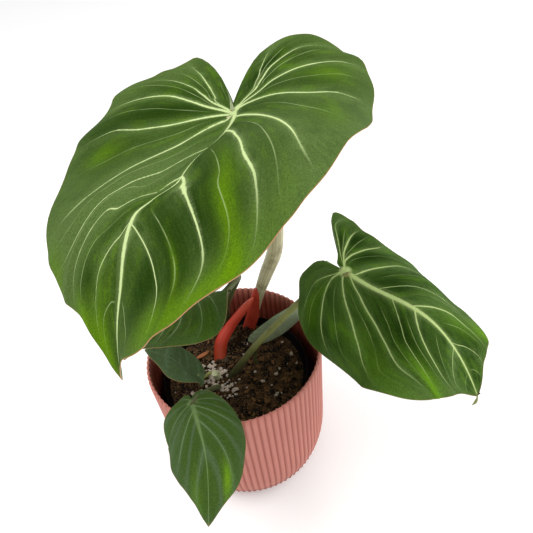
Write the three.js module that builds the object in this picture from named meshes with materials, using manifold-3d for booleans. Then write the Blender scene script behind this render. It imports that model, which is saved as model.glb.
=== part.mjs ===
// A gloriosum philodendron in its pots: a creeping aroid with six velvet leaves on long stalks.
// It grows in a black nursery pot, which stands inside a ribbed pink cover pot.
// Millimetres, +Z up. The origin is the middle of the cover pot's flat base.
import * as THREE from "three";
import { mergeVertices } from "three/addons/utils/BufferGeometryUtils.js";
import Module from "manifold-3d";

// Driving dimensions

const GAP = 0.3; // left between two pieces that touch
const FULL_TURN = Math.PI * 2;
const FINEST = 0.02; // corners of a cut solid closer than this become one

const COVER = {
  height: 126,
  rimRadius: 70,
  wallLean: 0.029, // the straight wall's radius grows by this much for each millimetre of height
  cornerHeight: 43.5, // of the rounded lower corner
  footRadius: 47,
  wall: 3,
  floor: 4,
  ribs: 84,
  ribDepth: 1,
  columnsPerRib: 3, // one in the groove and two on the rib
};

const NURSERY = {
  shift: -2, // the inner pot stands a little to the left
  rimHeight: 100,
  rimRadius: 60,
  lipHeight: 6,
  neckRadius: 57.4,
  footRadius: 42,
  wall: 1.3,
  sides: 40,
};

const SOIL = {
  level: 93,
  crown: 2, // the middle stands this much higher than the edge
  lump: 0.9,
  lumpPitch: 17, // from one lump to the next
  sides: 40,
  ringRadii: [49, 41, 33, 25, 17, 8],
};

const RHIZOME = {
  // the creeping stem that carries every stalk, half sunk in the soil
  radius: 6.5,
  route: [
    [-24, -17, 86],
    [-17, -5, 89],
    [-14, 8, 89.5],
    [-9, 24, 89.5],
    [2, 37, 89.5],
    [15, 43, 89],
    [22, 42, 84],
  ],
};

// A blade lies flat first, with its hub, where the stalk joins, at 0, 0 and its tip along +Y.
// Its margin is given by polar reaches about the hub, as shares of the hub-to-tip length.
const MARGIN_ANGLES = [0, 8, 16, 30, 48, 68, 90, 112, 132, 148, 160, 170, 177, 180];

// Main side veins are numbered from 1 at the basal lobes, and 0 is the notch behind the hub.
// veinStarts are shares of the midrib, and veinEnds are margin angles, for numbers 0, 1, 2 ...
const PLAIN_STARTS = [0, 0, 0, 0, 0.06, 0.28, 0.45, 0.7, 1];
const PLAIN_ENDS = [180, 155, 132, 108, 84, 62, 42, 22, 0];

// The flat blade is then bent. Each list of five holds degrees at the lobes, the hub, one third,
// two thirds and the tip. heading and pitch steer the midrib, bank rolls the blade about it,
// rise tips each half up from the midrib, and curl bends that half down over half a length.
const LEAVES = {
  large: {
    length: 177,
    hub: [28, 4, 317],
    heading: [-95, -110, -130, -125, -105],
    pitch: [-15, -5, 5, -35, -70],
    bank: [0, -10, -15, -10, -30],
    left: {
      rise: [15, 30, 25, 10, 40],
      curl: [45, 85, 45, -5, -25],
      reach: [1, 0.9, 0.88, 0.82, 0.68, 0.54, 0.5, 0.54, 0.52, 0.46, 0.34, 0.16, 0.06, 0.03],
      veinEnds: [180, 149, 137, 118, 78, 47, 35, 24, 17, 0],
    },
    right: {
      rise: [10, 15, 5, 5, 0],
      curl: [45, 25, 10, 35, 45],
      reach: [1, 0.88, 0.84, 0.76, 0.66, 0.62, 0.58, 0.58, 0.5, 0.38, 0.38, 0.2, 0.06, 0.03],
      veinEnds: [180, 153, 136, 116, 76, 30, 16, 13, 6, 0],
    },
    veinStarts: [0, 0, 0, 0, 0, 0.05, 0.14, 0.37, 0.6, 1],
    veinBow: 0.1,
    thickness: 0.8,
    quilt: 2.4,
    rowsPerVein: 4,
    steps: 6,
    color: 0x4c7a2c,
  },
  right: {
    length: 128,
    hub: [87, -21, 200],
    heading: [-50, -65, -50, -55, -65],
    pitch: [5, 0, -5, -45, -60],
    bank: [-20, -10, -10, 0, -5],
    left: {
      rise: [10, -10, -5, -5, 10],
      curl: [50, 35, 65, 55, 30],
      reach: [1, 0.88, 0.86, 0.76, 0.7, 0.56, 0.4, 0.36, 0.44, 0.16, 0.1, 0.08, 0.05, 0.03],
      veinEnds: [180, 130, 118, 97, 57, 30, 17, 12, 0],
    },
    right: {
      rise: [-15, -15, -10, 5, 20],
      curl: [30, 55, 50, 20, 10],
      reach: [1, 0.9, 0.86, 0.8, 0.64, 0.52, 0.46, 0.4, 0.32, 0.3, 0.24, 0.2, 0.14, 0.03],
      veinEnds: [180, 119, 75, 40, 22, 18, 13, 10, 0],
    },
    veinStarts: [0, 0, 0, 0, 0.05, 0.25, 0.41, 0.7, 1],
    veinBow: 0.18,
    thickness: 0.8,
    quilt: 1.6,
    rowsPerVein: 4,
    steps: 5,
    color: 0x426f28,
  },
  front: {
    length: 85,
    hub: [-36, -54, 144],
    heading: [-95, -85, -85, -100, -105],
    pitch: [30, 30, -25, -30, -30],
    bank: [-5, 0, -5, -5, 0],
    left: {
      rise: [-5, -15, -15, 0, 10],
      curl: [40, 50, 60, 40, 25],
      reach: [1, 0.86, 0.78, 0.62, 0.54, 0.46, 0.38, 0.32, 0.28, 0.28, 0.26, 0.2, 0.1, 0.03],
      veinEnds: PLAIN_ENDS,
    },
    right: {
      rise: [-10, -20, -15, -5, 5],
      curl: [25, 55, 60, 40, 25],
      reach: [1, 0.84, 0.76, 0.68, 0.56, 0.46, 0.38, 0.36, 0.28, 0.24, 0.24, 0.2, 0.1, 0.03],
      veinEnds: PLAIN_ENDS,
    },
    veinStarts: PLAIN_STARTS,
    veinBow: 0.16,
    thickness: 0.7,
    quilt: 0.7,
    rowsPerVein: 3,
    steps: 5,
    color: 0x3d6b2c,
  },
  shaded: {
    length: 76,
    hub: [-10, -9, 196],
    heading: [-165, -155, -150, -170, -155],
    pitch: [0, 5, 10, -30, -50],
    bank: [-5, -15, -5, -10, -5],
    left: {
      rise: [15, 25, 15, 20, 15],
      curl: [20, 0, 25, 25, 25],
      reach: [1, 0.88, 0.8, 0.72, 0.68, 0.62, 0.55, 0.34, 0.15, 0.1, 0.07, 0.06, 0.05, 0.03],
      veinEnds: [180, 155, 125, 65, 49, 35, 32, 16, 0],
    },
    right: {
      rise: [10, 10, 10, 10, 10],
      curl: [35, 35, 35, 35, 35],
      reach: [1, 0.88, 0.8, 0.72, 0.68, 0.62, 0.56, 0.54, 0.52, 0.5, 0.42, 0.3, 0.14, 0.03],
      veinEnds: PLAIN_ENDS,
    },
    veinStarts: [0, 0, 0, 0, 0.1, 0.29, 0.45, 0.7, 1],
    veinBow: 0.12,
    thickness: 0.7,
    quilt: 0.9,
    rowsPerVein: 3,
    steps: 5,
    color: 0x345a26,
  },
  side: {
    length: 56,
    hub: [-30, -4, 106],
    heading: [180, 180, 175, 170, 165],
    pitch: [40, 45, 65, 45, 20],
    bank: [-10, -5, -15, 0, 0],
    left: {
      rise: [5, 10, 15, 5, 10],
      curl: [15, 10, 0, 20, 15],
      reach: [1, 0.9, 0.79, 0.7, 0.6, 0.36, 0.14, 0.07, 0.05, 0.04, 0.04, 0.03, 0.03, 0.03],
      veinEnds: PLAIN_ENDS,
    },
    right: {
      rise: [0, 5, 10, 5, 5],
      curl: [20, 10, 10, 15, 15],
      reach: [1, 0.9, 0.8, 0.7, 0.6, 0.5, 0.36, 0.22, 0.12, 0.08, 0.06, 0.05, 0.04, 0.03],
      veinEnds: PLAIN_ENDS,
    },
    veinStarts: PLAIN_STARTS,
    veinBow: 0.16,
    thickness: 0.7,
    quilt: 0.4,
    rowsPerVein: 2,
    steps: 4,
    color: 0x3c5a3a,
  },
  turned: {
    // stands on its edge behind the right leaf's stalk and shows its pale underside
    length: 62,
    hub: [18.5, 9, 119],
    heading: [5, 5, 5, 10, 15],
    pitch: [25, 28, 28, 20, 12],
    bank: [88, 88, 85, 80, 75],
    left: {
      rise: [5, 5, 5, 5, 5],
      curl: [15, 15, 15, 15, 15],
      reach: [1, 0.9, 0.8, 0.54, 0.32, 0.2, 0.14, 0.1, 0.09, 0.08, 0.07, 0.06, 0.05, 0.03],
      veinEnds: PLAIN_ENDS,
    },
    right: {
      rise: [5, 5, 5, 5, 5],
      curl: [15, 15, 15, 15, 15],
      reach: [1, 0.8, 0.56, 0.3, 0.19, 0.14, 0.12, 0.1, 0.09, 0.08, 0.07, 0.06, 0.05, 0.03],
      veinEnds: PLAIN_ENDS,
    },
    veinStarts: PLAIN_STARTS,
    veinBow: 0.16,
    thickness: 0.7,
    quilt: 0.3,
    rowsPerVein: 2,
    steps: 4,
    color: 0x6e8266,
  },
};

// Each stalk's route runs from inside the creeping stem up to its blade's hub, where it is cut.
// radii are spread evenly along the route.
const STALKS = {
  large: {
    route: [
      [15, 44, 90],
      [24, 45, 112],
      [31, 42, 136],
      [39, 32, 167],
      [47, 23, 197],
      [49, 16, 235],
      [42, 8, 280],
    ],
    radii: [4.8, 4.2, 4.4, 5.4, 5.8, 5, 4.4, 3.8],
    sides: 10,
    color: 0x6f7450,
  },
  right: {
    route: [
      [-11, -2, 89],
      [14, -1, 119],
      [33, -4, 142],
      [54, -8, 166],
      [73, -14, 186],
    ],
    radii: [3.1, 2.7, 2.6, 2.6, 2.4],
    sides: 8,
    color: 0x66744a,
  },
  front: {
    route: [
      [-17, -7, 89],
      [-20, -15, 102],
      [-27, -32, 122],
      [-33, -46, 136],
    ],
    radii: [2.4, 2.2, 2, 2, 1.9],
    sides: 8,
    color: 0x6a6238,
  },
  shaded: {
    route: [
      [0, 40, 89],
      [1, 48, 108],
      [3, 44, 130],
      [9, 36, 152],
      [16, 28, 173],
      [12, 12, 184],
      [-1, -4, 188],
    ],
    radii: [3, 2.8, 2.7, 2.7, 2.7, 2.6, 2.4, 2.2],
    sides: 8,
    color: 0x4a4a24,
  },
  side: {
    route: [
      [-15, 8, 90],
      [-22, 6, 95.5],
      [-31, 0, 99],
    ],
    radii: [1.8, 1.7, 1.6, 1.5],
    sides: 6,
    color: 0x5c6b3c,
  },
  turned: {
    route: [
      [16, 4, 80],
      [16, 5, 98],
      [18, 7, 108],
    ],
    radii: [1.3, 1.2, 1.2, 1.1],
    sides: 6,
    color: 0x6b5a36,
  },
};

// The red sheath of the next leaf, a horn that leans towards the large leaf's stalk
const HORN = {
  route: [
    [-14, 16, 88],
    [-11, 26, 98],
    [-7, 31, 105],
    [2, 36, 113],
    [12, 37, 124],
    [20, 37, 133],
    [26, 36, 140],
  ],
  radii: [5.2, 5.6, 5.4, 4.6, 3.8, 2.8, 0.7],
  sides: 10,
  color: 0xc8463a,
};

// The red wrap at the foot of the large leaf's stalk, open to the front right
const WRAP = {
  middle: 200, // direction that its tall side faces, in degrees from +X
  spread: 250, // how far round the stalk it reaches
  foot: 95,
  top: 150, // its tip, on the tall side
  wall: 0.9,
  looseness: 0.8, // extra room to the stalk at the top
  columns: 12,
  rows: 6,
  color: 0xb4392c,
};

const STUB = {
  // the cut foot of an old stalk
  route: [
    [-17, 1, 90],
    [-18, -1, 99],
    [-19, -3, 105],
  ],
  radii: [3.2, 3, 2.4],
  sides: 8,
  color: 0xa9b98c,
};

const SCRAP = {
  // a dry curl of an old sheath that lies on the soil
  middle: [-27, 26, 95.6],
  size: [15, 7, 1.4],
  turn: 20,
  tilt: 8,
  color: 0x9a5a30,
};

// Small helpers

const radians = THREE.MathUtils.degToRad;
const vector = (point) => new THREE.Vector3(...point);

// A smooth value between evenly spaced ones, at place 0, 1, 2 ...
function alongList(values, place) {
  const last = values.length - 1;
  const s = THREE.MathUtils.clamp(place, 0, last - 1e-9);
  const i = Math.floor(s);
  const f = s - i;
  const a = values[Math.max(i - 1, 0)];
  const b = values[i];
  const c = values[Math.min(i + 1, last)];
  const d = values[Math.min(i + 2, last)];
  return b + 0.5 * f * (c - a + f * (2 * a - 5 * b + 4 * c - d + f * (3 * (b - c) + d - a)));
}

// Slopes for a curve through xs, ys that never overshoots them
function slopes(xs, ys) {
  const widths = xs.slice(1).map((x, i) => x - xs[i]);
  const rates = widths.map((w, i) => (ys[i + 1] - ys[i]) / w);
  return xs.map((_, i) => {
    if (i === 0) return rates[0];
    if (i === xs.length - 1) return rates[i - 1];
    if (rates[i - 1] * rates[i] <= 0) return 0;
    const near = 2 * widths[i] + widths[i - 1];
    const far = widths[i] + 2 * widths[i - 1];
    return (near + far) / (near / rates[i - 1] + far / rates[i]);
  });
}

function smoothTable(xs, ys) {
  const tangents = slopes(xs, ys);
  return (x) => {
    let i = 0;
    while (i < xs.length - 2 && x >= xs[i + 1]) i += 1;
    const width = xs[i + 1] - xs[i];
    const f = (x - xs[i]) / width;
    const g = 1 - f;
    const fromLeft = (1 + 2 * f) * g * g * ys[i] + f * g * g * width * tangents[i];
    const fromRight = f * f * (3 - 2 * f) * ys[i + 1] - f * f * g * width * tangents[i + 1];
    return fromLeft + fromRight;
  };
}

// Solids

const wasm = await Module();
wasm.setup();

function geometryOf(triangles) {
  const geometry = new THREE.BufferGeometry();
  const values = triangles.flatMap((corners) => corners.flatMap((p) => [p.x, p.y, p.z]));
  geometry.setAttribute("position", new THREE.Float32BufferAttribute(values, 3));
  return geometry;
}

function solidOf(geometry) {
  const bare = geometry.clone();
  bare.deleteAttribute("normal");
  bare.deleteAttribute("uv");
  const merged = mergeVertices(bare, 1e-4);
  return new wasm.Manifold(
    new wasm.Mesh({
      numProp: 3,
      vertProperties: merged.attributes.position.array,
      triVerts: new Uint32Array(merged.index.array),
    }),
  );
}

function geometryFrom(solid) {
  const mesh = solid.getMesh();
  const corner = (i) => new THREE.Vector3().fromArray(mesh.vertProperties, i * mesh.numProp);
  const triangles = [];
  for (let i = 0; i < mesh.triVerts.length; i += 3) {
    triangles.push([0, 1, 2].map((k) => corner(mesh.triVerts[i + k])));
  }
  return geometryOf(triangles);
}

// Takes the cutters away and keeps the largest piece that is left.
function cutBy(geometry, cutters) {
  const cut = cutters.reduce((solid, cutter) => solid.subtract(cutter), solidOf(geometry));
  const pieces = cut.simplify(FINEST).decompose();
  pieces.sort((a, b) => b.volume() - a.volume());
  return geometryFrom(pieces[0]);
}

// A closed skin over rings of equal count, with a fan over each end.
function skinOver(rings) {
  const triangles = [];
  const count = rings[0].length;
  const middleOf = (ring) =>
    ring.reduce((sum, p) => sum.add(p), new THREE.Vector3()).divideScalar(count);
  rings.slice(1).forEach((ring, k) => {
    const below = rings[k];
    for (let i = 0; i < count; i += 1) {
      const j = (i + 1) % count;
      triangles.push([below[i], below[j], ring[j]], [below[i], ring[j], ring[i]]);
    }
  });
  const first = middleOf(rings[0]);
  const last = middleOf(rings.at(-1));
  for (let i = 0; i < count; i += 1) {
    const j = (i + 1) % count;
    triangles.push([first, rings[0][j], rings[0][i]]);
    triangles.push([last, rings.at(-1)[i], rings.at(-1)[j]]);
  }
  return geometryOf(triangles);
}

function ringAt(radius, height, sides, shift = 0) {
  return Array.from({ length: sides }, (_, i) => {
    const angle = (i / sides) * FULL_TURN;
    return new THREE.Vector3(radius * Math.cos(angle) + shift, radius * Math.sin(angle), height);
  });
}

// A round bar along a smooth route, whose radius changes evenly from one listed value to the next
function taperedBar({ route, radii, sides }, grow = 0) {
  const curve = new THREE.CatmullRomCurve3(route.map(vector), false, "centripetal");
  const steps = (route.length - 1) * 3;
  const frames = curve.computeFrenetFrames(steps, false);
  const rings = frames.tangents.map((_, k) => {
    const share = k / steps;
    const middle = curve.getPointAt(share);
    const radius = alongList(radii, share * (radii.length - 1)) + grow;
    if (k === 0 || k === steps) middle.addScaledVector(frames.tangents[k], k ? grow : -grow);
    return Array.from({ length: sides }, (_, i) => {
      const angle = (i / sides) * FULL_TURN;
      return middle
        .clone()
        .addScaledVector(frames.normals[k], radius * Math.cos(angle))
        .addScaledVector(frames.binormals[k], radius * Math.sin(angle));
    });
  });
  return skinOver(rings);
}

// Pots

function coverPot() {
  const columns = COVER.ribs * COVER.columnsPerRib;
  const shoulder = COVER.rimRadius - (COVER.height - COVER.cornerHeight) * COVER.wallLean;
  // ribs stand out of both faces of the wall, so grooves go into it from both sides
  const ribbed = (radius, height, outward) =>
    ringAt(1, height, columns).map((p, i) => {
      const groove = i % COVER.columnsPerRib === 0 ? COVER.ribDepth : 0;
      const reach = radius - groove * outward;
      return new THREE.Vector3(p.x * reach, p.y * reach, height);
    });
  const corner = [0, 30, 60, 90].map((degrees) => {
    const a = radians(degrees);
    const radius = COVER.footRadius + (shoulder - COVER.footRadius) * Math.sin(a);
    return ribbed(radius, COVER.cornerHeight * (1 - Math.cos(a)), 1);
  });
  const inner = COVER.rimRadius - COVER.wall;
  const bowl = 28; // height where the inside turns in to the floor
  return skinOver([
    ...corner,
    ribbed(COVER.rimRadius, COVER.height, 1),
    ribbed(inner, COVER.height, -1),
    ribbed(inner - (COVER.height - bowl) * COVER.wallLean - COVER.wall, bowl, -1),
    ribbed(COVER.footRadius, COVER.floor, -1),
  ]);
}

const nurseryFoot = COVER.floor + GAP;
const nurseryNeck = NURSERY.rimHeight - NURSERY.lipHeight;

// Inner radius of the nursery pot at a height below its lip
function nurseryInside(height) {
  const share = (height - nurseryFoot) / (nurseryNeck - nurseryFoot);
  return THREE.MathUtils.lerp(NURSERY.footRadius, NURSERY.neckRadius, share) - NURSERY.wall;
}

function nurseryPot() {
  const floor = nurseryFoot + NURSERY.wall;
  const profile = [
    [0, nurseryFoot],
    [NURSERY.footRadius, nurseryFoot],
    [NURSERY.neckRadius, nurseryNeck],
    [NURSERY.rimRadius, nurseryNeck + 0.6],
    [NURSERY.rimRadius, NURSERY.rimHeight],
    [NURSERY.rimRadius - NURSERY.wall, NURSERY.rimHeight],
    [nurseryInside(nurseryNeck) + 1, nurseryNeck + 1],
    [nurseryInside(floor), floor],
    [0, floor],
  ];
  const lathe = new THREE.LatheGeometry(
    profile.map(([r, z]) => new THREE.Vector2(r, z)),
    NURSERY.sides,
  );
  return lathe.rotateX(Math.PI / 2).translate(NURSERY.shift, 0, 0);
}

function soilHeight(x, y) {
  const k = FULL_TURN / SOIL.lumpPitch;
  const lumps = Math.sin(k * x + 1) * Math.cos(k * y) + 0.5 * Math.sin(1.7 * k * (x - y) + 2);
  const out = Math.hypot(x - NURSERY.shift, y) / NURSERY.neckRadius;
  return SOIL.level + SOIL.crown * (1 - out * out) + SOIL.lump * lumps;
}

function soilBlock() {
  const foot = nurseryFoot + NURSERY.wall + GAP;
  const edge = nurseryInside(SOIL.level) - GAP;
  const surface = (radius) =>
    ringAt(radius, 0, SOIL.sides, NURSERY.shift).map((p) => p.setZ(soilHeight(p.x, p.y)));
  const rim = ringAt(edge, SOIL.level, SOIL.sides, NURSERY.shift);
  return skinOver([
    ringAt(nurseryInside(foot) - GAP, foot, SOIL.sides, NURSERY.shift),
    rim,
    ...SOIL.ringRadii.map(surface),
  ]);
}

// Leaf blades

function bladeShape(leaf) {
  const numbers = leaf.veinStarts.map((_, i) => i);
  const startOf = smoothTable(numbers, leaf.veinStarts);
  const halves = [leaf.left, leaf.right].map((half, i) => ({
    sign: i === 0 ? -1 : 1,
    rise: half.rise,
    curl: half.curl,
    endOf: smoothTable(numbers, half.veinEnds),
    reachAt: smoothTable(MARGIN_ANGLES, half.reach),
  }));
  const placeOf = (y) => (y / leaf.length) * 3 + 1;

  // Along the midrib, to its right, and up from it
  const frameAt = (y) => {
    const place = placeOf(y);
    const heading = radians(alongList(leaf.heading, place));
    const pitch = radians(alongList(leaf.pitch, place));
    const bank = radians(alongList(leaf.bank, place));
    const along = new THREE.Vector3(
      Math.cos(pitch) * Math.cos(heading),
      Math.cos(pitch) * Math.sin(heading),
      Math.sin(pitch),
    );
    const level = new THREE.Vector3(Math.sin(heading), -Math.cos(heading), 0);
    const above = level.clone().cross(along);
    const side = level.clone().multiplyScalar(Math.cos(bank));
    side.addScaledVector(above, Math.sin(bank));
    const up = above.multiplyScalar(Math.cos(bank)).addScaledVector(level, -Math.sin(bank));
    return { along, side, up };
  };

  // The midrib's line, carried behind the hub for the basal lobes
  const spineStep = 0.02;
  const spine = new Map([[0, vector(leaf.hub)]]);
  for (const way of [1, -1]) {
    for (let i = 0; Math.abs(i) * spineStep < (way > 0 ? 1.02 : 0.7); i += way) {
      const here = frameAt(i * spineStep * leaf.length).along;
      const there = frameAt((i + way) * spineStep * leaf.length).along;
      const step = here.add(there).multiplyScalar((way * spineStep * leaf.length) / 2);
      spine.set(i + way, spine.get(i).clone().add(step));
    }
  }
  const spineAt = (y) => {
    const s = y / leaf.length / spineStep;
    const i = Math.floor(s);
    return spine.get(i).clone().lerp(spine.get(i + 1), s - i);
  };

  // Where a flat point goes, lifted off the blade by height
  const bend = (half, across, y, height = 0) => {
    const place = placeOf(y);
    const { side, up } = frameAt(y);
    const rise = radians(alongList(half.rise, place));
    const bendRate = radians(alongList(half.curl, place)) / (leaf.length / 2);
    const turn = (bendRate * across) / 2;
    const chord = across * (Math.abs(turn) < 1e-6 ? 1 : Math.sin(turn) / turn);
    const end = rise - 2 * turn;
    const out = chord * Math.cos(rise - turn) - height * Math.sin(end);
    const over = chord * Math.sin(rise - turn) + height * Math.cos(end);
    return spineAt(y).addScaledVector(side, half.sign * out).addScaledVector(up, over);
  };

  // A point on the line of vein number v, at share t from the midrib to the margin
  const point = (half, v, t) => {
    const start = startOf(v) * leaf.length;
    const angle = radians(half.endOf(v));
    const reach = half.reachAt(half.endOf(v)) * leaf.length;
    const endX = reach * Math.sin(angle);
    const endY = reach * Math.cos(angle);
    const bow = leaf.veinBow * Math.min(1, v);
    const bendX = endX / 2 + bow * (endY - start);
    const bendY = (start + endY) / 2 - bow * endX;
    const x = 2 * t * (1 - t) * bendX + t * t * endX;
    const y = (1 - t) ** 2 * start + 2 * t * (1 - t) * bendY + t * t * endY;
    // the blade swells between its veins, least near the hub and the tip
    const room = Math.min(1, Math.hypot(endX, endY - start) / (0.4 * leaf.length));
    const swell = Math.sin(Math.PI * v) ** 2 * t ** 0.7 * (1 - 0.4 * t) * room;
    return bend(half, x, y, leaf.quilt * swell);
  };
  return { halves, point, bend, frameAt };
}

// The blade's upper face as shared corners and triangles
function bladeSheet(leaf) {
  const { halves, point } = bladeShape(leaf);
  const corners = [];
  const known = new Map();
  const indexOf = (p) => {
    const key = [p.x, p.y, p.z].map((c) => Math.round(c * 1000)).join();
    if (!known.has(key)) {
      known.set(key, corners.length);
      corners.push(p);
    }
    return known.get(key);
  };
  const rows = (leaf.veinStarts.length - 1) * leaf.rowsPerVein;
  const faces = [];
  for (const half of halves) {
    const grid = Array.from({ length: rows + 1 }, (_, j) =>
      Array.from({ length: leaf.steps + 1 }, (_, i) =>
        indexOf(point(half, j / leaf.rowsPerVein, i / leaf.steps)),
      ),
    );
    for (let j = 0; j < rows; j += 1) {
      for (let i = 0; i < leaf.steps; i += 1) {
        const [a, b] = [grid[j][i], grid[j][i + 1]];
        const [c, d] = [grid[j + 1][i], grid[j + 1][i + 1]];
        const pair = [
          [a, b, d],
          [a, d, c],
        ];
        for (const face of pair) {
          if (new Set(face).size < 3) continue;
          faces.push(half.sign > 0 ? face : face.slice().reverse());
        }
      }
    }
  }
  return { corners, faces };
}

// Closes the sheet with a lower face and a narrow margin. above and below are measured from the
// sheet, and both faces keep the same triangles.
function bladeSolid(leaf, above, below) {
  const { corners, faces } = bladeSheet(leaf);
  const normals = corners.map(() => new THREE.Vector3());
  for (const face of faces) {
    const [a, b, c] = face.map((i) => corners[i]);
    const normal = b.clone().sub(a).cross(c.clone().sub(a)).normalize();
    face.forEach((i) => normals[i].add(normal));
  }
  normals.forEach((n) => n.normalize());
  const top = corners.map((p, i) => p.clone().addScaledVector(normals[i], above));
  const bottom = corners.map((p, i) => p.clone().addScaledVector(normals[i], -below));
  const triangles = [];
  const open = new Map();
  for (const face of faces) {
    triangles.push(face.map((i) => top[i]));
    triangles.push([face[2], face[1], face[0]].map((i) => bottom[i]));
    face.forEach((i, k) => {
      const j = face[(k + 1) % 3];
      if (!open.delete(`${j},${i}`)) open.set(`${i},${j}`, [i, j]);
    });
  }
  for (const [i, j] of open.values()) {
    triangles.push([top[j], top[i], bottom[i]], [top[j], bottom[i], bottom[j]]);
  }
  return geometryOf(triangles);
}

// The room that a blade needs of its stalk, also across its notch
function bladeRoom(leaf) {
  const filled = (half) => ({ ...half, reach: half.reach.map((r) => Math.max(r, 0.2)) });
  const whole = { ...leaf, left: filled(leaf.left), right: filled(leaf.right) };
  return solidOf(bladeSolid(whole, 1, leaf.thickness + GAP));
}

// Where the stalk meets the blade: on the midrib, just in front of the notch
function stalkEnd(leaf, radius) {
  const { halves, bend } = bladeShape(leaf);
  return bend(halves[1], 0, radius + 2.5).toArray();
}

// The wrap is a sheet bent round the stalk's route, tall in its middle and low at its edges.
function footWrap() {
  const stalk = STALKS.large;
  const curve = new THREE.CatmullRomCurve3(stalk.route.map(vector), false, "centripetal");
  const middleAt = (height) => {
    let share = 0;
    while (curve.getPointAt(share).z < height) share += 0.002;
    return curve.getPointAt(share);
  };
  const face = (offset) => (i, k) => {
    const across = (i / WRAP.columns) * 2 - 1;
    const rise = k / WRAP.rows;
    const height = WRAP.foot + (WRAP.top - WRAP.foot) * (1 - across * across) * rise;
    const angle = radians(WRAP.middle + (across * WRAP.spread) / 2);
    const share = (height - stalk.route[0][2]) / 100;
    const inner = alongList(stalk.radii, share * 3) + GAP + 0.2 + WRAP.looseness * rise;
    const spread = new THREE.Vector3(Math.cos(angle), Math.sin(angle), 0);
    return middleAt(height).setZ(height).addScaledVector(spread, inner + offset);
  };
  const inside = face(0);
  const outside = face(WRAP.wall);
  const rings = [];
  for (let i = 1; i < WRAP.columns; i += 1) {
    const up = Array.from({ length: WRAP.rows + 1 }, (_, k) => inside(i, k));
    const down = Array.from({ length: WRAP.rows + 1 }, (_, k) => outside(i, WRAP.rows - k));
    rings.push([...up, ...down]);
  }
  return skinOver(rings);
}

function dryScrap() {
  const [length, width, thickness] = SCRAP.size;
  const outline = new THREE.Shape();
  outline.moveTo(-length / 2, 0);
  outline.quadraticCurveTo(-length / 6, width / 2, length / 2, width / 8);
  outline.quadraticCurveTo(length / 8, -width / 2, -length / 2, 0);
  const plate = new THREE.ExtrudeGeometry(outline, {
    depth: thickness,
    bevelEnabled: false,
    curveSegments: 5,
  });
  plate.rotateX(radians(SCRAP.tilt)).rotateZ(radians(SCRAP.turn));
  return plate.translate(...SCRAP.middle);
}

// Assembly

const plant = new THREE.Group();

function addPiece(name, geometry, color, roughness) {
  const material = new THREE.MeshStandardMaterial({ color, roughness, metalness: 0 });
  const mesh = new THREE.Mesh(geometry, material);
  mesh.name = name;
  plant.add(mesh);
}

const rhizome = { ...RHIZOME, radii: [4, RHIZOME.radius, RHIZOME.radius, 4], sides: 10 };
const rhizomeRoom = solidOf(taperedBar(rhizome, GAP));

addPiece("cover_pot", coverPot(), 0xcf8375, 0.8);
addPiece("nursery_pot", nurseryPot(), 0x15171a, 0.6);
addPiece("rhizome", taperedBar(rhizome), 0x54452c, 0.9);

const stemRooms = [rhizomeRoom];
for (const [name, leaf] of Object.entries(LEAVES)) {
  const stalk = STALKS[name];
  const endRadius = stalk.radii.at(-1);
  const full = { ...stalk, route: [...stalk.route, stalkEnd(leaf, endRadius)] };
  stemRooms.push(solidOf(taperedBar(full, GAP)));
  const stem = cutBy(taperedBar(full), [rhizomeRoom, bladeRoom(leaf)]);
  addPiece(`${name}_leaf_stalk`, stem, stalk.color, 0.6);
  addPiece(`${name}_leaf_blade`, bladeSolid(leaf, 0, leaf.thickness), leaf.color, 0.7);
}

const hornRoom = solidOf(taperedBar(HORN, GAP));
stemRooms.push(hornRoom, solidOf(taperedBar(STUB, GAP)));
addPiece("red_horn", cutBy(taperedBar(HORN), [rhizomeRoom]), HORN.color, 0.4);
addPiece("old_stalk_stub", cutBy(taperedBar(STUB), [rhizomeRoom]), STUB.color, 0.7);
addPiece("red_foot_wrap", cutBy(footWrap(), [rhizomeRoom, ...stemRooms]), WRAP.color, 0.5);
addPiece("soil", cutBy(soilBlock(), stemRooms), 0x2e2018, 0.95);
addPiece("dry_sheath_scrap", dryScrap(), SCRAP.color, 0.8);

export default plant;
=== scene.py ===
# %% [markdown]
# A potted gloriosum philodendron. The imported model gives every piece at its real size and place.
# This lesson puts finer leaves, stalks, pots and soil where the plain solids are, and gives each
# piece its finish. All lengths below are millimetres until MM turns them into metres.

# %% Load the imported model
import math
import bpy
import numpy as np
from mathutils import Matrix, Vector, noise


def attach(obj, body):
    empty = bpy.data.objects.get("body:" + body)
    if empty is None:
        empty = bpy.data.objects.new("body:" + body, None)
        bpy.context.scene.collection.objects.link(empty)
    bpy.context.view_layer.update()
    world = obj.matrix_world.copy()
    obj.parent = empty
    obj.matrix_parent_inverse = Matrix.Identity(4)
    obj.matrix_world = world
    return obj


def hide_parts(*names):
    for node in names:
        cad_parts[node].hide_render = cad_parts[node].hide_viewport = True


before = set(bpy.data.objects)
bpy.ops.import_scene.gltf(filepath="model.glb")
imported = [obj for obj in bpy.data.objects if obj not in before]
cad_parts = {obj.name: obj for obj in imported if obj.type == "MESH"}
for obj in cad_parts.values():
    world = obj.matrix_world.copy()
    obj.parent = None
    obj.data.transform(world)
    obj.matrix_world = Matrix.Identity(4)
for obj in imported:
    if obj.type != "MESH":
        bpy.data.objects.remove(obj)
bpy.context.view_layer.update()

MM = 0.001

# %% [markdown]
# The camera looks down on the plant from the front. Its place and turn come from the pot's rim and
# base in the photograph, so that a point of the model falls on the same pixel.

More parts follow.
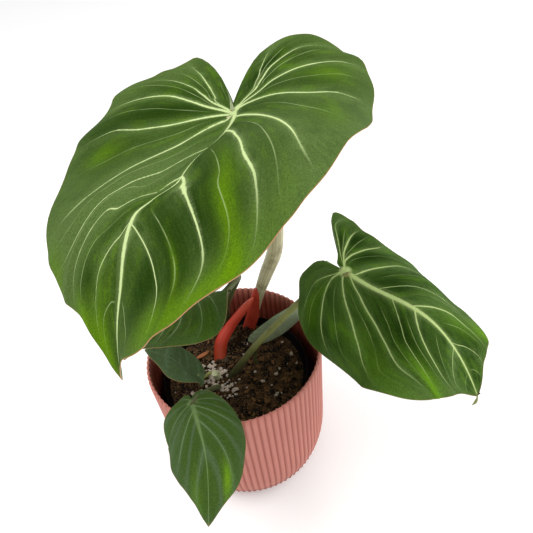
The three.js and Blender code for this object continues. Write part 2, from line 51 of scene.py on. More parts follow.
# %% Camera
camera_data = bpy.data.cameras.new("camera")
camera_data.sensor_width = 36
camera_data.lens = 36.47
camera_data.clip_start = 0.01
camera_data.clip_end = 20
camera = bpy.data.objects.new("camera", camera_data)
bpy.context.collection.objects.link(camera)
CAMERA_PLACE = Vector((0, -286.35, 452.58)) * MM
CAMERA_TILT = math.radians(-40.986)  # below the horizon
CAMERA_HEADING = math.radians(7.150)  # from +Y towards +X
CAMERA_ROLL = math.radians(-8.350)
ahead = Vector((
    math.sin(CAMERA_HEADING) * math.cos(CAMERA_TILT),
    math.cos(CAMERA_HEADING) * math.cos(CAMERA_TILT),
    math.sin(CAMERA_TILT),
))
level = Vector((math.cos(CAMERA_HEADING), -math.sin(CAMERA_HEADING), 0))
overhead = level.cross(ahead)
camera_right = math.cos(CAMERA_ROLL) * level + math.sin(CAMERA_ROLL) * overhead
camera_up = camera_right.cross(ahead)
turn = Matrix((camera_right, camera_up, -ahead)).transposed()
camera.matrix_world = Matrix.Translation(CAMERA_PLACE) @ turn.to_4x4()
bpy.context.scene.camera = camera
print("camera at", [round(c, 3) for c in camera.location])

# %% [markdown]
# A studio for a plant is plain: a pale floor, one broad soft lamp high at the left, a weaker one
# at the right and a white sky that fills the shadows.

# %% Floor and light
bpy.ops.mesh.primitive_plane_add(size=30)
floor = bpy.context.object
floor.name = "floor"
paper = bpy.data.materials.new("white_paper")
paper.use_nodes = True
for socket, value in (
    ("Base Color", (0.9, 0.9, 0.9, 1)), ("Roughness", 0.9),
    ("Emission Color", (1, 1, 1, 1)), ("Emission Strength", 0.2),
):
    paper.node_tree.nodes["Principled BSDF"].inputs[socket].default_value = value
floor.data.materials.append(paper)
PLANT_MIDDLE = Vector((0.02, -0.02, 0.2))


def soft_lamp(name, place, size, power):
    """A square lamp that looks at the plant. Its place and size are in metres, its power in watts."""
    lamp = bpy.data.lights.new(name, "AREA")
    lamp.size = size
    lamp.energy = power
    holder = bpy.data.objects.new(name, lamp)
    bpy.context.collection.objects.link(holder)
    holder.location = place
    holder.rotation_euler = (PLANT_MIDDLE - Vector(place)).to_track_quat("-Z", "Y").to_euler()


soft_lamp("high_left", (-0.5, -0.1, 1.35), 0.7, 9)
soft_lamp("right_fill", (1.2, -0.1, 0.9), 1.0, 11)
world = bpy.data.worlds.new("white_sky")
world.use_nodes = True
world.node_tree.nodes["Background"].inputs["Color"].default_value = (1, 1, 1, 1)
world.node_tree.nodes["Background"].inputs["Strength"].default_value = 0.75
bpy.context.scene.world = world
bpy.context.scene.view_settings.view_transform = "Standard"
print("floor, two lamps and a white sky")

# %% [markdown]
# Materials are wired from small nodes. Each helper adds one node or a few, and accepts either a
# number or another node's output for each input.

# %% Material helpers
def srgb(red, green, blue):
    """A screen colour from 0 to 255 as the linear colour that a shader takes"""
    linear = []
    for value in (red, green, blue):
        share = value / 255
        linear.append(share / 12.92 if share <= 0.04045 else ((share + 0.055) / 1.055) ** 2.4)
    return (*linear, 1)


def put(tree, kind, values=(), **settings):
    node = tree.nodes.new("ShaderNode" + kind)
    for key, value in settings.items():
        setattr(node, key, value)
    for key, value in dict(values).items():
        if isinstance(value, bpy.types.NodeSocket):
            tree.links.new(value, node.inputs[key])
        elif node.inputs[key].type == "VECTOR":
            node.inputs[key].default_value = value[:3]
        else:
            node.inputs[key].default_value = value
    return node


def calc(tree, operation, a, b=0.0, c=0.0, clamp=False):
    return put(tree, "Math", {0: a, 1: b, 2: c}, operation=operation, use_clamp=clamp).outputs[0]


def times(tree, a, b, clamp=False):
    return calc(tree, "MULTIPLY", a, b, clamp=clamp)


def scaled(tree, value, factor, plus):
    return calc(tree, "MULTIPLY_ADD", value, factor, plus)


def larger(tree, a, b):
    return calc(tree, "MAXIMUM", a, b)


def opposite(tree, share):
    """0 where the share is 1, and 1 where it is 0"""
    return calc(tree, "SUBTRACT", 1, share)


def rising(tree, value, low, high):
    """0 up to low, 1 from high on, and smooth between"""
    node = put(tree, "MapRange", {"Value": value, "From Min": low, "From Max": high},
               interpolation_type="SMOOTHSTEP")
    return node.outputs[0]


def falling(tree, value, low, high):
    """1 up to low, 0 from high on, and smooth between"""
    return opposite(tree, rising(tree, value, low, high))


def mixed(tree, share, first, second):
    """The first colour where the share is 0, the second where it is 1"""
    node = put(tree, "Mix", data_type="RGBA")
    for socket, value in ((0, share), (6, first), (7, second)):
        if isinstance(value, bpy.types.NodeSocket):
            tree.links.new(value, node.inputs[socket])
        else:
            node.inputs[socket].default_value = value
    return node.outputs[2]


def dimmed(tree, colour, factor):
    return put(tree, "VectorMath", {0: colour, "Scale": factor}, operation="SCALE").outputs[0]


def attribute(tree, name):
    return put(tree, "Attribute", attribute_name=name).outputs["Fac"]


def point(tree, x, y, z=0.0):
    return put(tree, "CombineXYZ", {"X": x, "Y": y, "Z": z}).outputs[0]


def noisy(tree, scale, detail=3.0, vector=None, stretch=(1, 1, 1), roughness=0.5):
    """Noise on object coordinates in metres, or on another vector"""
    source = vector or put(tree, "TexCoord").outputs["Object"]
    placed = put(tree, "Mapping", {"Vector": source, "Scale": stretch}).outputs[0]
    values = {"Vector": placed, "Scale": scale, "Detail": detail, "Roughness": roughness}
    return put(tree, "TexNoise", values).outputs["Fac"]


def finish_material(name, roughness, specular=0.5, sheen=0.0):
    """A new material, its tree and its main shader. Plain numbers sit on the shader itself."""
    material = bpy.data.materials.new(name)
    material.use_nodes = True
    tree = material.node_tree
    shader = tree.nodes["Principled BSDF"]
    shader.inputs["Roughness"].default_value = roughness
    shader.inputs["Specular IOR Level"].default_value = specular
    shader.inputs["Sheen Weight"].default_value = sheen
    return material, tree, shader


def paint(tree, shader, colour):
    tree.links.new(colour, shader.inputs["Base Color"])


def bump(tree, shader, height, distance, strength=1.0):
    """Relief of the given depth in metres"""
    values = {"Height": height, "Distance": distance, "Strength": strength}
    tree.links.new(put(tree, "Bump", values).outputs[0], shader.inputs["Normal"])


def mottled_finish(name, roughness, specular, patches, first, second, grain, depth, strength):
    """Two colours in patches, and a fine relief. Patches and grain are scale and detail of a noise."""
    material, tree, shader = finish_material(name, roughness, specular)
    paint(tree, shader, mixed(tree, noisy(tree, *patches), first, second))
    bump(tree, shader, noisy(tree, *grain), depth, strength)
    return material


print("material helpers ready")

# %% [markdown]
# Small modelling helpers pick a piece, move its corners and store numbers on them. The last one
# hands a finished piece over, riding on the plant's body.

# %% Modelling helpers
def clear_selection():
    if bpy.context.object and bpy.context.object.mode != "OBJECT":
        bpy.ops.object.mode_set(mode="OBJECT")
    bpy.ops.object.select_all(action="DESELECT")


def pick(piece):
    clear_selection()
    piece.select_set(True)
    bpy.context.view_layer.objects.active = piece


def new_piece(name, corners, edges=(), faces=()):
    mesh = bpy.data.meshes.new(name)
    mesh.from_pydata(corners, edges, faces)
    piece = bpy.data.objects.new(name, mesh)
    bpy.context.collection.objects.link(piece)
    return piece


def corners_of(piece):
    flat = np.empty(len(piece.data.vertices) * 3)
    piece.data.vertices.foreach_get("co", flat)
    return flat.reshape(-1, 3)


def move_corners(piece, points):
    piece.data.vertices.foreach_set("co", np.asarray(points, float).ravel())
    piece.data.update()


def store(piece, **measures):
    """Writes one number per corner under each name, for the finish to read"""
    for key, values in measures.items():
        layer = piece.data.attributes.new(key, "FLOAT", "POINT")
        layer.data.foreach_set("value", values.astype(np.float32))


def tidy_mesh(piece, near=1e-6, outwards=False):
    """Joins corners that lie together, and turns the faces outwards if asked"""
    pick(piece)
    bpy.ops.object.mode_set(mode="EDIT")
    bpy.ops.mesh.select_all(action="SELECT")
    bpy.ops.mesh.remove_doubles(threshold=near)
    bpy.ops.mesh.dissolve_degenerate(threshold=near)
    if outwards:
        bpy.ops.mesh.normals_make_consistent(inside=False)
    bpy.ops.object.mode_set(mode="OBJECT")


def hand_over(piece, name, slot, *materials, nodes=(), smooth=40):
    """Names a finished piece, gives it its materials and puts it in place of its CAD nodes"""
    piece.name = name
    piece.data.name = name
    for material in materials:
        piece.data.materials.append(material)
    pick(piece)
    bpy.ops.object.shade_smooth_by_angle(angle=math.radians(smooth))
    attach(piece, "root")
    if nodes:
        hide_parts(*nodes)
    print(name, "faces:", len(piece.data.polygons))


print("modelling helpers ready")

# %% [markdown]
# A blade's shape is a list of plain measures. It lies flat first, with its hub at the origin and
# its tip along +Y. The margin is a polar curve about the hub, and the side veins are numbered from
# the basal lobes to the tip. The flat blade is then bent: heading, pitch and bank steer its midrib
# at the lobes, the hub, one third, two thirds and the tip, rise lifts each half and curl bends it.
# Where a measure has two lists, the first is for the left half and the second for the right one.
# Reach is the margin's distance from the hub at MARGIN_ANGLES, as a share of the length. Starts
# are the places on the midrib where the veins leave it, and ends their angles at the margin. A
# course gives one vein's uneven numbers at COURSE_SHARES of the way out. Nicks push the margin of
# one half at a vein number by so many mm, over a stretch. Glow, shade and greyish sheen patches of
# the green give half, vein number, share of the way out, strength, and reach in numbers and in
# shares. Glow brightens the green, shade is painted shade, and the sheen patches are a greyish
# painted sheen, which also lies thinly over a whole blade.

# %% Measures of the six blades
MARGIN_ANGLES = [0, 8, 16, 30, 48, 68, 90, 112, 132, 148, 160, 170, 177, 180]
PLAIN_STARTS = [0, 0, 0, 0, 0.06, 0.28, 0.45, 0.7, 1]
PLAIN_ENDS = [180, 155, 132, 108, 84, 62, 42, 22, 0]
NARROW_REACH = [1, 0.8, 0.56, 0.3, 0.19, 0.14, 0.12, 0.1, 0.09, 0.08, 0.07, 0.06, 0.05, 0.03]
BROAD_REACH = [1, 0.9, 0.8, 0.54, 0.32, 0.2, 0.14, 0.1, 0.09, 0.08, 0.07, 0.06, 0.05, 0.03]
FAINT_WIDTHS = [0, 0.2, 0.25, 0.3, 0.3, 0.3, 0.25, 0.2, 0]
SLIGHT_WIDTHS = [0, 0.4, 0.5, 0.5, 0.5, 0.5, 0.4, 0.3, 0]
FRONT_ENDS = [180, 150, 110, 70, 42, 25, 14, 6, 0]
COURSE_SHARES = [0, 0.15, 0.3, 0.5, 0.75, 1]

LEAVES = {
    "large": dict(
        length=177, hub=(28, 4, 317), thickness=0.8, quilt=2.4, bow=0.1,
        heading=[-95, -110, -130, -125, -105],
        pitch=[-15, -5, 5, -35, -70],
        bank=[0, -10, -15, -10, -30],
        rise=([15, 30, 25, 10, 40], [10, 15, 5, 5, 0]),
        curl=([45, 85, 45, -5, -25], [45, 25, 10, 35, 45]),
        reach=([1, 0.9, 0.88, 0.82, 0.68, 0.54, 0.5, 0.54, 0.52, 0.46, 0.32, 0.12, 0.05, 0.03],
               [1, 0.88, 0.84, 0.76, 0.66, 0.62, 0.58, 0.58, 0.5, 0.38, 0.38, 0.24, 0.05, 0.03]),
        ends=([180, 149, 137, 118, 78, 47, 35, 24, 17, 0],
              [180, 153, 136, 116, 76, 30, 16, 13, 6, 0]),
        starts=[0, 0, 0, 0, 0, 0.05, 0.16, 0.45, 0.57, 1],
        sway=([0, 0.1, 0.17, 0.3, 0.42, 0.46, 0.5, 0.56, 0.66, 0.78, 0.92, 1],
              [-5, -8, -7, -9, -14, -15, -2, 4, 1, -4, -4, 0]),
        nicks=[(1, 2.4, 4.5, 0.3), (1, 1.95, -5, 0.25), (1, 0.27, -7, 0.12), (0, 0.45, 3, 0.2),
               (1, 2.6, 2, 0.12), (0, 2.65, -1.5, 0.12), (0, 2.95, 5.5, 0.2), (0, 4.1, -2.5, 0.25),
               (0, 4.85, 3.5, 0.3), (1, 7.8, -2, 0.6), (1, 3.6, 1.2, 0.15), (0, 5.4, 0.8, 0.15),
               (1, 4.6, -1, 0.2)],
        courses=([[2.6, 2.6, 1.7, 1.0, 0.8, 0.75], [2.95, 2.9, 2.2, 1.68, 1.8, 2.6],
                  [3.6, 3.5, 3.05, 2.92, 2.95, 3.1], [4.2, 4.15, 4.05, 3.98, 3.7, 3.6],
                  [5.1, 5.15, 5.1, 5.07, 5.08, 5.0], [5.9, 6.0, 6.08, 6.08, 5.92, 6.2],
                  [6.95, 6.9, 6.8, 6.75, 6.8, 7.1], [8.05, 8.05, 8.05, 8.05, 8.0, 8.0]],
                 [[2.6, 2.6, 1.95, 1.35, 1.0, 0.9], [2.8, 2.8, 2.4, 2.05, 1.95, 2.25],
                  [3.3, 3.3, 3.12, 2.92, 2.95, 2.95], [3.9, 4.1, 4.15, 4.02, 3.75, 3.8],
                  [4.4, 4.6, 4.88, 4.9, 5.2, 5.1], [5.95, 5.95, 6.15, 5.75, 6.0, 5.5],
                  [6.95, 6.8, 6.85, 6.55, 6.7, 7.4], [8.0, 8.0, 7.9, 7.85, 8.15, 8.5]]),
        widths=([0, 0.6, 0.9, 1.0, 1.0, 1.3, 1.5, 1.35, 0.5, 0],
                [0, 0.7, 1.0, 1.2, 1.2, 1.2, 0.8, 0.75, 0.45, 0]),
        rib=([0, 0.13, 0.18, 0.45, 0.52, 0.58, 0.7, 0.85, 1],
             [2.6, 2.4, 0.7, 0.6, 0.7, 1.5, 1.3, 0.9, 0.4]),
        base_painted_sheen=0.1,
        glow=[(0, 6.35, 0.7, 0.8, 0.13, 0.3), (0, 7.4, 0.65, 0.6, 0.1, 0.2),
              (0, 8, 0.88, 0.6, 0.3, 0.12), (1, 8.5, 0.85, 1.1, 0.45, 0.35),
              (1, 7.7, 0.97, 0.9, 0.4, 0.12), (1, 4.3, 0.72, 0.5, 0.2, 0.12),
              (0, 3.3, 0.65, 0.5, 0.2, 0.15), (0, 7, 0.97, 0.8, 1, 0.12),
              (0, 4.4, 0.75, 0.3, 0.2, 0.15), (1, 5.6, 0.98, 0.5, 0.4, 0.08)],
        shade=[(0, 1.25, 0.42, 0.9, 0.5, 0.3), (0, 7.3, 0.5, 1, 0.6, 0.3),
               (0, 8.2, 0.5, 0.9, 0.35, 0.28), (0, 6.65, 0.5, 0.6, 0.2, 0.3),
               (0, 1.3, 0.5, 0.9, 0.3, 0.15), (0, 1.8, 0.3, 0.9, 0.3, 0.12),
               (0, 6.3, 0.75, 0.5, 0.3, 0.2), (1, 3.6, 0.35, 1, 0.3, 0.25),
               (1, 3.6, 0.8, 0.7, 0.35, 0.25), (1, 4.3, 0.7, 0.5, 0.3, 0.2),
               (1, 2.5, 0.4, 0.5, 0.35, 0.2), (0, 3.4, 0.55, 0.4, 0.4, 0.2),
               (1, 7.7, 0.7, 0.5, 0.3, 0.15), (0, 4.6, 0.25, 0.4, 0.25, 0.15),
               (0, 7.5, 0.85, 0.6, 0.5, 0.15)],
        haze=[(1, 6.4, 0.6, 0.6, 0.8, 0.5), (1, 5.8, 0.5, 0.7, 1.1, 0.6), (0, 4.9, 0.6, 0.4, 1.2, 0.4),
              (1, 2, 0.85, 0.5, 1, 0.3), (0, 8.6, 0.4, 0.4, 0.3, 0.3)],
        rows=14, steps=44,
    ),
    "right": dict(
        length=128, hub=(87, -21, 200), thickness=0.8, quilt=1.6, bow=0.18,
        heading=[-50, -65, -50, -55, -65],
        pitch=[5, 0, -5, -45, -60],
        bank=[-20, -10, -10, 0, -5],
        rise=([10, -10, -5, -5, 10], [-15, -15, -10, 5, 20]),
        curl=([50, 35, 65, 55, 30], [30, 55, 50, 20, 10]),
        reach=([1, 0.88, 0.86, 0.76, 0.7, 0.56, 0.4, 0.36, 0.44, 0.16, 0.1, 0.08, 0.05, 0.03],
               [1, 0.9, 0.86, 0.8, 0.64, 0.52, 0.46, 0.4, 0.32, 0.3, 0.24, 0.2, 0.14, 0.03]),
        ends=([180, 130, 118, 97, 57, 30, 17, 12, 0],
              [180, 119, 75, 40, 22, 18, 13, 10, 0]),
        starts=[0, 0, 0, 0, 0.05, 0.25, 0.41, 0.7, 1],
        courses=([[1.0, 0.95, 0.9, 0.95, 0.9, 1.4], [1.3, 1.4, 1.5, 1.82, 1.98, 2.15],
                  [1.6, 1.7, 2.4, 2.95, 3.1, 3.0], [4.1, 4.05, 4.05, 4.0, 4.5, 4.7],
                  [4.8, 4.95, 5.08, 5.3, 5.4, 5.5], [6.0, 6.05, 6.05, 6.03, 6.25, 7.0],
                  [6.9, 7.0, 7.05, 7.15, 7.3, 7.5]],
                 [[1.1, 1.1, 1.0, 0.92, 1.18, 1.3], [1.3, 1.35, 1.7, 1.98, 2.05, 2.1],
                  [2.3, 3.1, 3.22, 3.05, 2.85, 3.2], [3.8, 4.2, 4.2, 4.02, 3.82, 4.4],
                  [5.35, 5.3, 5.2, 5.03, 5.05, 5.2], [6.1, 6.03, 5.97, 5.95, 6.1, 7.3],
                  [7, 7, 7, 7, 7.1, 7.6]]),
        widths=([0, 0.6, 1.1, 1.1, 1.05, 0.4, 0.9, 0.35, 0], [0, 0.5, 0.95, 1.0, 1.0, 0.4, 0.9, 0.3, 0]),
        rib=([0, 0.2, 0.45, 0.6, 0.8, 1], [2.3, 2.1, 1.8, 1.3, 0.95, 0.4]),
        base_painted_sheen=0.1,
        glow=[(1, 4.9, 0.88, 0.9, 0.5, 0.25), (0, 6, 0.97, 0.8, 0.4, 0.15),
              (1, 1.5, 0.6, 0.4, 0.4, 0.3), (0, 6.4, 0.5, 0.4, 0.4, 0.3),
              (1, 3.2, 0.75, 0.4, 0.5, 0.4)],
        shade=[(1, 5.1, 0.4, 1.1, 0.6, 0.3), (0, 2.3, 0.7, 1, 0.5, 0.25), (0, 3.4, 0.4, 1, 0.35, 0.25),
               (0, 4.9, 0.15, 1, 0.5, 0.2), (1, 1.8, 0.75, 0.8, 0.4, 0.3),
               (0, 6.9, 0.4, 0.7, 0.5, 0.4), (1, 6.4, 0.4, 0.5, 0.5, 0.3),
               (0, 1.2, 0.5, 0.6, 0.3, 0.2)],
        haze=[(0, 5.8, 0.5, 0.5, 0.6, 0.4), (1, 6.8, 0.8, 0.4, 0.8, 0.3), (0, 3.9, 0.7, 0.5, 0.4, 0.3),
              (1, 0.6, 0.4, 0.6, 0.6, 0.5), (1, 2.6, 0.1, 0.4, 1, 0.2)],
        rows=14, steps=36,
    ),
    "front": dict(
        length=85, hub=(-36, -54, 144), thickness=0.7, quilt=0.7, bow=0.16,
        heading=[-95, -85, -85, -100, -105],
        pitch=[30, 30, -25, -30, -30],
        bank=[-5, 0, -5, -5, 0],
        rise=([-5, -15, -15, 0, 10], [-10, -20, -15, -5, 5]),
        curl=([40, 50, 60, 40, 25], [25, 55, 60, 40, 25]),
        reach=([1, 0.86, 0.78, 0.62, 0.54, 0.46, 0.38, 0.32, 0.28, 0.28, 0.26, 0.2, 0.1, 0.03],
               [1, 0.84, 0.76, 0.68, 0.56, 0.46, 0.38, 0.36, 0.28, 0.24, 0.24, 0.2, 0.1, 0.03]),
        ends=(FRONT_ENDS, FRONT_ENDS),
        starts=[0, 0, 0, 0.03, 0.07, 0.13, 0.22, 0.45, 1],
        widths=([0, 0, 0.6, 0.1, 0.7, 0.1, 0.6, 0, 0], [0, 0.5, 0.1, 0.7, 0.1, 0.7, 0, 0.4, 0]),
        rib=([0, 0.2, 0.5, 0.8, 1], [2.6, 2.0, 0.6, 0.3, 0.2]),
        glow=[(0, 6.4, 0.78, 1, 0.35, 0.18), (1, 7, 0.8, 0.25, 0.5, 0.3)],
        haze=[(1, 4, 0.5, 0.5, 1, 0.4)],
        rows=12, steps=26,
    ),
    "shaded": dict(
        length=76, hub=(-10, -9, 196), thickness=0.7, quilt=0.9, bow=0.12,
        heading=[-165, -155, -150, -170, -155],
        pitch=[0, 5, 10, -30, -50],
        bank=[-5, -15, -5, -10, -5],
        rise=([15, 25, 15, 20, 15], [10, 10, 10, 10, 10]),
        curl=([20, 0, 25, 25, 25], [35, 35, 35, 35, 35]),
        reach=([1, 0.88, 0.8, 0.72, 0.68, 0.62, 0.55, 0.34, 0.15, 0.1, 0.07, 0.06, 0.05, 0.03],
               [1, 0.88, 0.8, 0.72, 0.68, 0.62, 0.56, 0.54, 0.52, 0.5, 0.42, 0.3, 0.14, 0.03]),
        ends=([180, 155, 125, 65, 49, 35, 32, 16, 0], PLAIN_ENDS),
        starts=[0, 0, 0, 0, 0.1, 0.29, 0.45, 0.7, 1],
        widths=(SLIGHT_WIDTHS, SLIGHT_WIDTHS),
        rib=([0, 0.3, 1], [1.0, 0.9, 0.4]),
        glow=[(0, 3.6, 0.8, 0.5, 0.8, 0.4)],
        rows=12, steps=24,
    ),
    "side": dict(
        length=56, hub=(-30, -4, 106), thickness=0.7, quilt=0.4, bow=0.16,
        heading=[180, 180, 175, 170, 165],
        pitch=[40, 45, 65, 45, 20],
        bank=[-10, -5, -15, 0, 0],
        rise=([5, 10, 15, 5, 10], [0, 5, 10, 5, 5]),
        curl=([15, 10, 0, 20, 15], [20, 10, 10, 15, 15]),
        reach=([1, 0.9, 0.79, 0.7, 0.6, 0.36, 0.14, 0.07, 0.05, 0.04, 0.04, 0.03, 0.03, 0.03],
               [1, 0.9, 0.8, 0.7, 0.6, 0.5, 0.36, 0.22, 0.12, 0.08, 0.06, 0.05, 0.04, 0.03]),
        ends=(PLAIN_ENDS, PLAIN_ENDS),
        starts=PLAIN_STARTS,
        widths=(FAINT_WIDTHS, FAINT_WIDTHS),
        rib=([0, 0.3, 1], [0.8, 0.6, 0.3]),
        rows=10, steps=20,
    ),
    "turned": dict(
        length=62, hub=(18.5, 9, 119), thickness=0.7, quilt=0.3, bow=0.16,
        heading=[5, 5, 5, 10, 15],
        pitch=[25, 28, 28, 20, 12],
        bank=[88, 88, 85, 80, 75],
        rise=([5, 5, 5, 5, 5], [5, 5, 5, 5, 5]),
        curl=([15, 15, 15, 15, 15], [15, 15, 15, 15, 15]),
        reach=(BROAD_REACH, NARROW_REACH),
        ends=(PLAIN_ENDS, PLAIN_ENDS),
        starts=PLAIN_STARTS,
        widths=(FAINT_WIDTHS, FAINT_WIDTHS),
        rib=([0, 0.3, 1], [0.8, 0.6, 0.3]),
        rows=8, steps=16,
    ),
}
print("blades:", ", ".join(LEAVES))

# %% [markdown]
# Two kinds of smooth line run through such lists. The first passes evenly spaced values, for the
# bends. The second passes values at any spacing and never overshoots, for the margin and veins.

# %% Smooth lines through lists
def along_list(values, place):
    values = np.asarray(values, float)
    last = len(values) - 1
    place = np.clip(place, 0, last - 1e-9)
    i = np.floor(place).astype(int)
    f = place - i
    a = values[np.maximum(i - 1, 0)]
    b = values[i]
    c = values[np.minimum(i + 1, last)]
    d = values[np.minimum(i + 2, last)]
    return b + 0.5 * f * (c - a + f * (2 * a - 5 * b + 4 * c - d + f * (3 * (b - c) + d - a)))


def along_table(xs, ys, x):
    xs, ys = np.asarray(xs, float), np.asarray(ys, float)
    widths = np.diff(xs)
    rates = np.diff(ys) / widths
    slopes = np.zeros(len(xs))
    slopes[0], slopes[-1] = rates[0], rates[-1]
    near = 2 * widths[1:] + widths[:-1]
    far = widths[1:] + 2 * widths[:-1]
    same_way = rates[:-1] * rates[1:] > 0
    first = np.where(same_way, rates[:-1], 1)
    second = np.where(same_way, rates[1:], 1)
    slopes[1:-1] = np.where(same_way, (near + far) / (near / first + far / second), 0)
    i = np.clip(np.searchsorted(xs, x, side="right") - 1, 0, len(xs) - 2)
    width = widths[i]
    f = (x - xs[i]) / width
    g = 1 - f
    from_left = (1 + 2 * f) * g * g * ys[i] + f * g * g * width * slopes[i]
    from_right = f * f * (3 - 2 * f) * ys[i + 1] - f * f * g * width * slopes[i + 1]
    return from_left + from_right


print("a value between 0 and 10:", float(along_list([0, 10], np.array([0.5]))[0]))

# %% [markdown]
# The bend itself. Each point keeps its distance from the midrib, measured along an arc whose
# starting slope is the rise and whose turning is the curl.

# %% Bend a flat blade
SPINE_STEP = 0.02  # as a share of the blade's length
STEPS_BEHIND, STEPS_AHEAD = 35, 52  # of the hub


def midrib_frame(leaf, y):
    """Unit directions along the midrib, to its right and up from it, for places y in mm"""
    place = y / leaf["length"] * 3 + 1
    heading, pitch, bank = (
        np.radians(along_list(leaf[key], place)) for key in ("heading", "pitch", "bank")
    )
    flat = np.stack([np.cos(heading), np.sin(heading), 0 * heading], -1)
    upright = np.stack([0 * heading, 0 * heading, 1 + 0 * heading], -1)
    sideways = np.stack([np.sin(heading), -np.cos(heading), 0 * heading], -1)
    along = flat * np.cos(pitch)[:, None] + upright * np.sin(pitch)[:, None]
    above = np.cross(sideways, along)
    side = sideways * np.cos(bank)[:, None] + above * np.sin(bank)[:, None]
    up = above * np.cos(bank)[:, None] - sideways * np.sin(bank)[:, None]
    return along, side, up


def bend_points(leaf, x, y, height):
    """Flat points x, y in mm, lifted by height, as points of the bent blade"""
    length = leaf["length"]
    places = np.arange(-STEPS_BEHIND, STEPS_AHEAD) * SPINE_STEP * length
    along, _, _ = midrib_frame(leaf, places)
    steps = (along[1:] + along[:-1]) / 2 * (SPINE_STEP * length)
    line = np.concatenate([[np.zeros(3)], np.cumsum(steps, 0)])
    line += np.array(leaf["hub"]) - line[STEPS_BEHIND]
    spine = np.stack([np.interp(y, places, line[:, k]) for k in range(3)], -1)
    _, side, up = midrib_frame(leaf, y)
    place = y / length * 3 + 1
    right = x >= 0
    rise = np.where(right, along_list(leaf["rise"][1], place), along_list(leaf["rise"][0], place))
    curl = np.where(right, along_list(leaf["curl"][1], place), along_list(leaf["curl"][0], place))
    rise, curl = np.radians(rise), np.radians(curl)
    across = np.abs(x)
    half_turn = curl / (length / 2) * across / 2
    chord = across * np.sinc(half_turn / np.pi)
    end = rise - 2 * half_turn
    out = chord * np.cos(rise - half_turn) - height * np.sin(end)
    over = chord * np.sin(rise - half_turn) + height * np.cos(end)
    return spine + side * (np.where(right, 1, -1) * out)[:, None] + up * over[:, None]


print("hub of the large leaf:", bend_points(LEAVES["large"], *np.zeros((3, 1)))[0])

# %% [markdown]
# A grid is the natural start for a blade: its lines across become the side veins and its lines
# along run beside the midrib. A corner's place in the grid gives its vein number and its share of
# the way from midrib to margin. The blade swells between veins, and sinks sharply at each vein.
# The same numbers are stored on the corners, so that the finish can draw the veins.

# %% Blade maker
HALF_STEP = 0.02  # in vein numbers, for measuring the gap between two veins
VEIN_SINK = 0.1  # mm
VEIN_SPREAD = 0.07  # in vein numbers, how wide a vein sinks
HUB_FLARE = 0.07  # share of the way out over which a vein is wider at the hub
FULL_SWELL = 0.4  # a vein shorter than this share of the blade's length has a flatter swell
# From this share on, a greyish painted sheen grows towards the margin.
GREYISH_FROM = 0.7  # share of the way out from which the green turns greyish
THIN_EDGE = 0.4  # share of the thickness that is left at the margin
EDGE_GROWTH = 5  # mm in which the thickness grows by its whole value
JOIN_WITHIN = 2e-5  # metres


def flat_place(leaf, number, share, right):
    """Flat x, y in mm of points at a vein number and a share of the way out, for one half"""
    length = leaf["length"]
    numbers = np.arange(len(leaf["starts"]))
    start = along_table(numbers, leaf["starts"], number) * length
    angle = along_table(numbers, leaf["ends"][right], number)
    reach = along_table(MARGIN_ANGLES, leaf["reach"][right], angle) * length
    for half, middle, push, spread in leaf.get("nicks", ()):
        if half == right:
            reach = reach + push * np.exp(-(((number - middle) / spread) ** 2))
    end_x = reach * np.sin(np.radians(angle))
    end_y = reach * np.cos(np.radians(angle))
    bow = leaf["bow"] * np.minimum(1, number)
    bend_x = end_x / 2 + bow * (end_y - start)
    bend_y = (start + end_y) / 2 - bow * end_x
    x = 2 * share * (1 - share) * bend_x + share**2 * end_x
    y = (1 - share) ** 2 * start + 2 * share * (1 - share) * bend_y + share**2 * end_y
    return x, y, np.hypot(end_x, end_y - start)


def drawn_number(leaf, number, share, right):
    """Vein number bent so that it is whole on the real, uneven course of each vein"""
    if "courses" not in leaf:
        return number, np.ones(len(number))
    lines = [np.zeros(len(share))]
    lines += [along_table(COURSE_SHARES, course, share) for course in leaf["courses"][right]]
    lines.append(np.full(len(share), float(len(lines))))
    drawn, room = number.copy(), np.ones(len(number))
    for vein, (low, high) in enumerate(zip(lines[:-1], lines[1:])):
        inside = (number >= low) & (number <= high)
        room[inside] = (high - low)[inside]
        drawn[inside] = vein + ((number - low) / (high - low))[inside]
    return drawn, room


def vein_ridge(number, count):
    """1 on a main vein and falling off on both sides of it"""
    beside = np.abs(number - np.round(number))
    real = (number > 0.5) & (number < count - 0.5)
    return np.where(real, np.exp(-((beside / VEIN_SPREAD) ** 2)), 0)


def half_measures(leaf, number, share, right):
    """Place, vein numbers, vein widths and patches of green for the corners of one half"""
    count = len(leaf["starts"]) - 1
    x, y, vein_length = flat_place(leaf, number, share, right)
    drawn, room = drawn_number(leaf, number, share, right)
    beyond = np.minimum(number + HALF_STEP, count)
    before = np.maximum(beyond - 2 * HALF_STEP, 0)
    x1, y1, _ = flat_place(leaf, before, share, right)
    x2, y2, _ = flat_place(leaf, beyond, share, right)
    nearest = np.clip(np.round(drawn), 1, count - 1).astype(int)
    from_hub = np.array(leaf["starts"])[nearest] == 0
    flare = 1 - 0.65 * share + 0.9 * from_hub * np.exp(-share / HUB_FLARE)
    found = {
        "x": x if right else -x, "y": y, "vein_length": vein_length, "drawn": drawn, "room": room,
        "gap": np.hypot(x2 - x1, y2 - y1) / (2 * HALF_STEP) * room,
        "width": np.array(leaf["widths"][right])[nearest] * flare,
        "glow": 0 * share, "shade": 0 * share, "haze": 0 * share,
    }
    # Patches of the green: glow brightens it, shade is painted shade, and the sheen patches are a greyish
    # painted sheen.
    for tone in ("glow", "shade", "haze"):
        for side, vein, out, strength, wide, long in leaf.get(tone, ()):
            if side == right:
                off = ((number - vein) / wide) ** 2 + ((share - out) / long) ** 2
                found[tone] += strength * np.exp(-off)
    return found


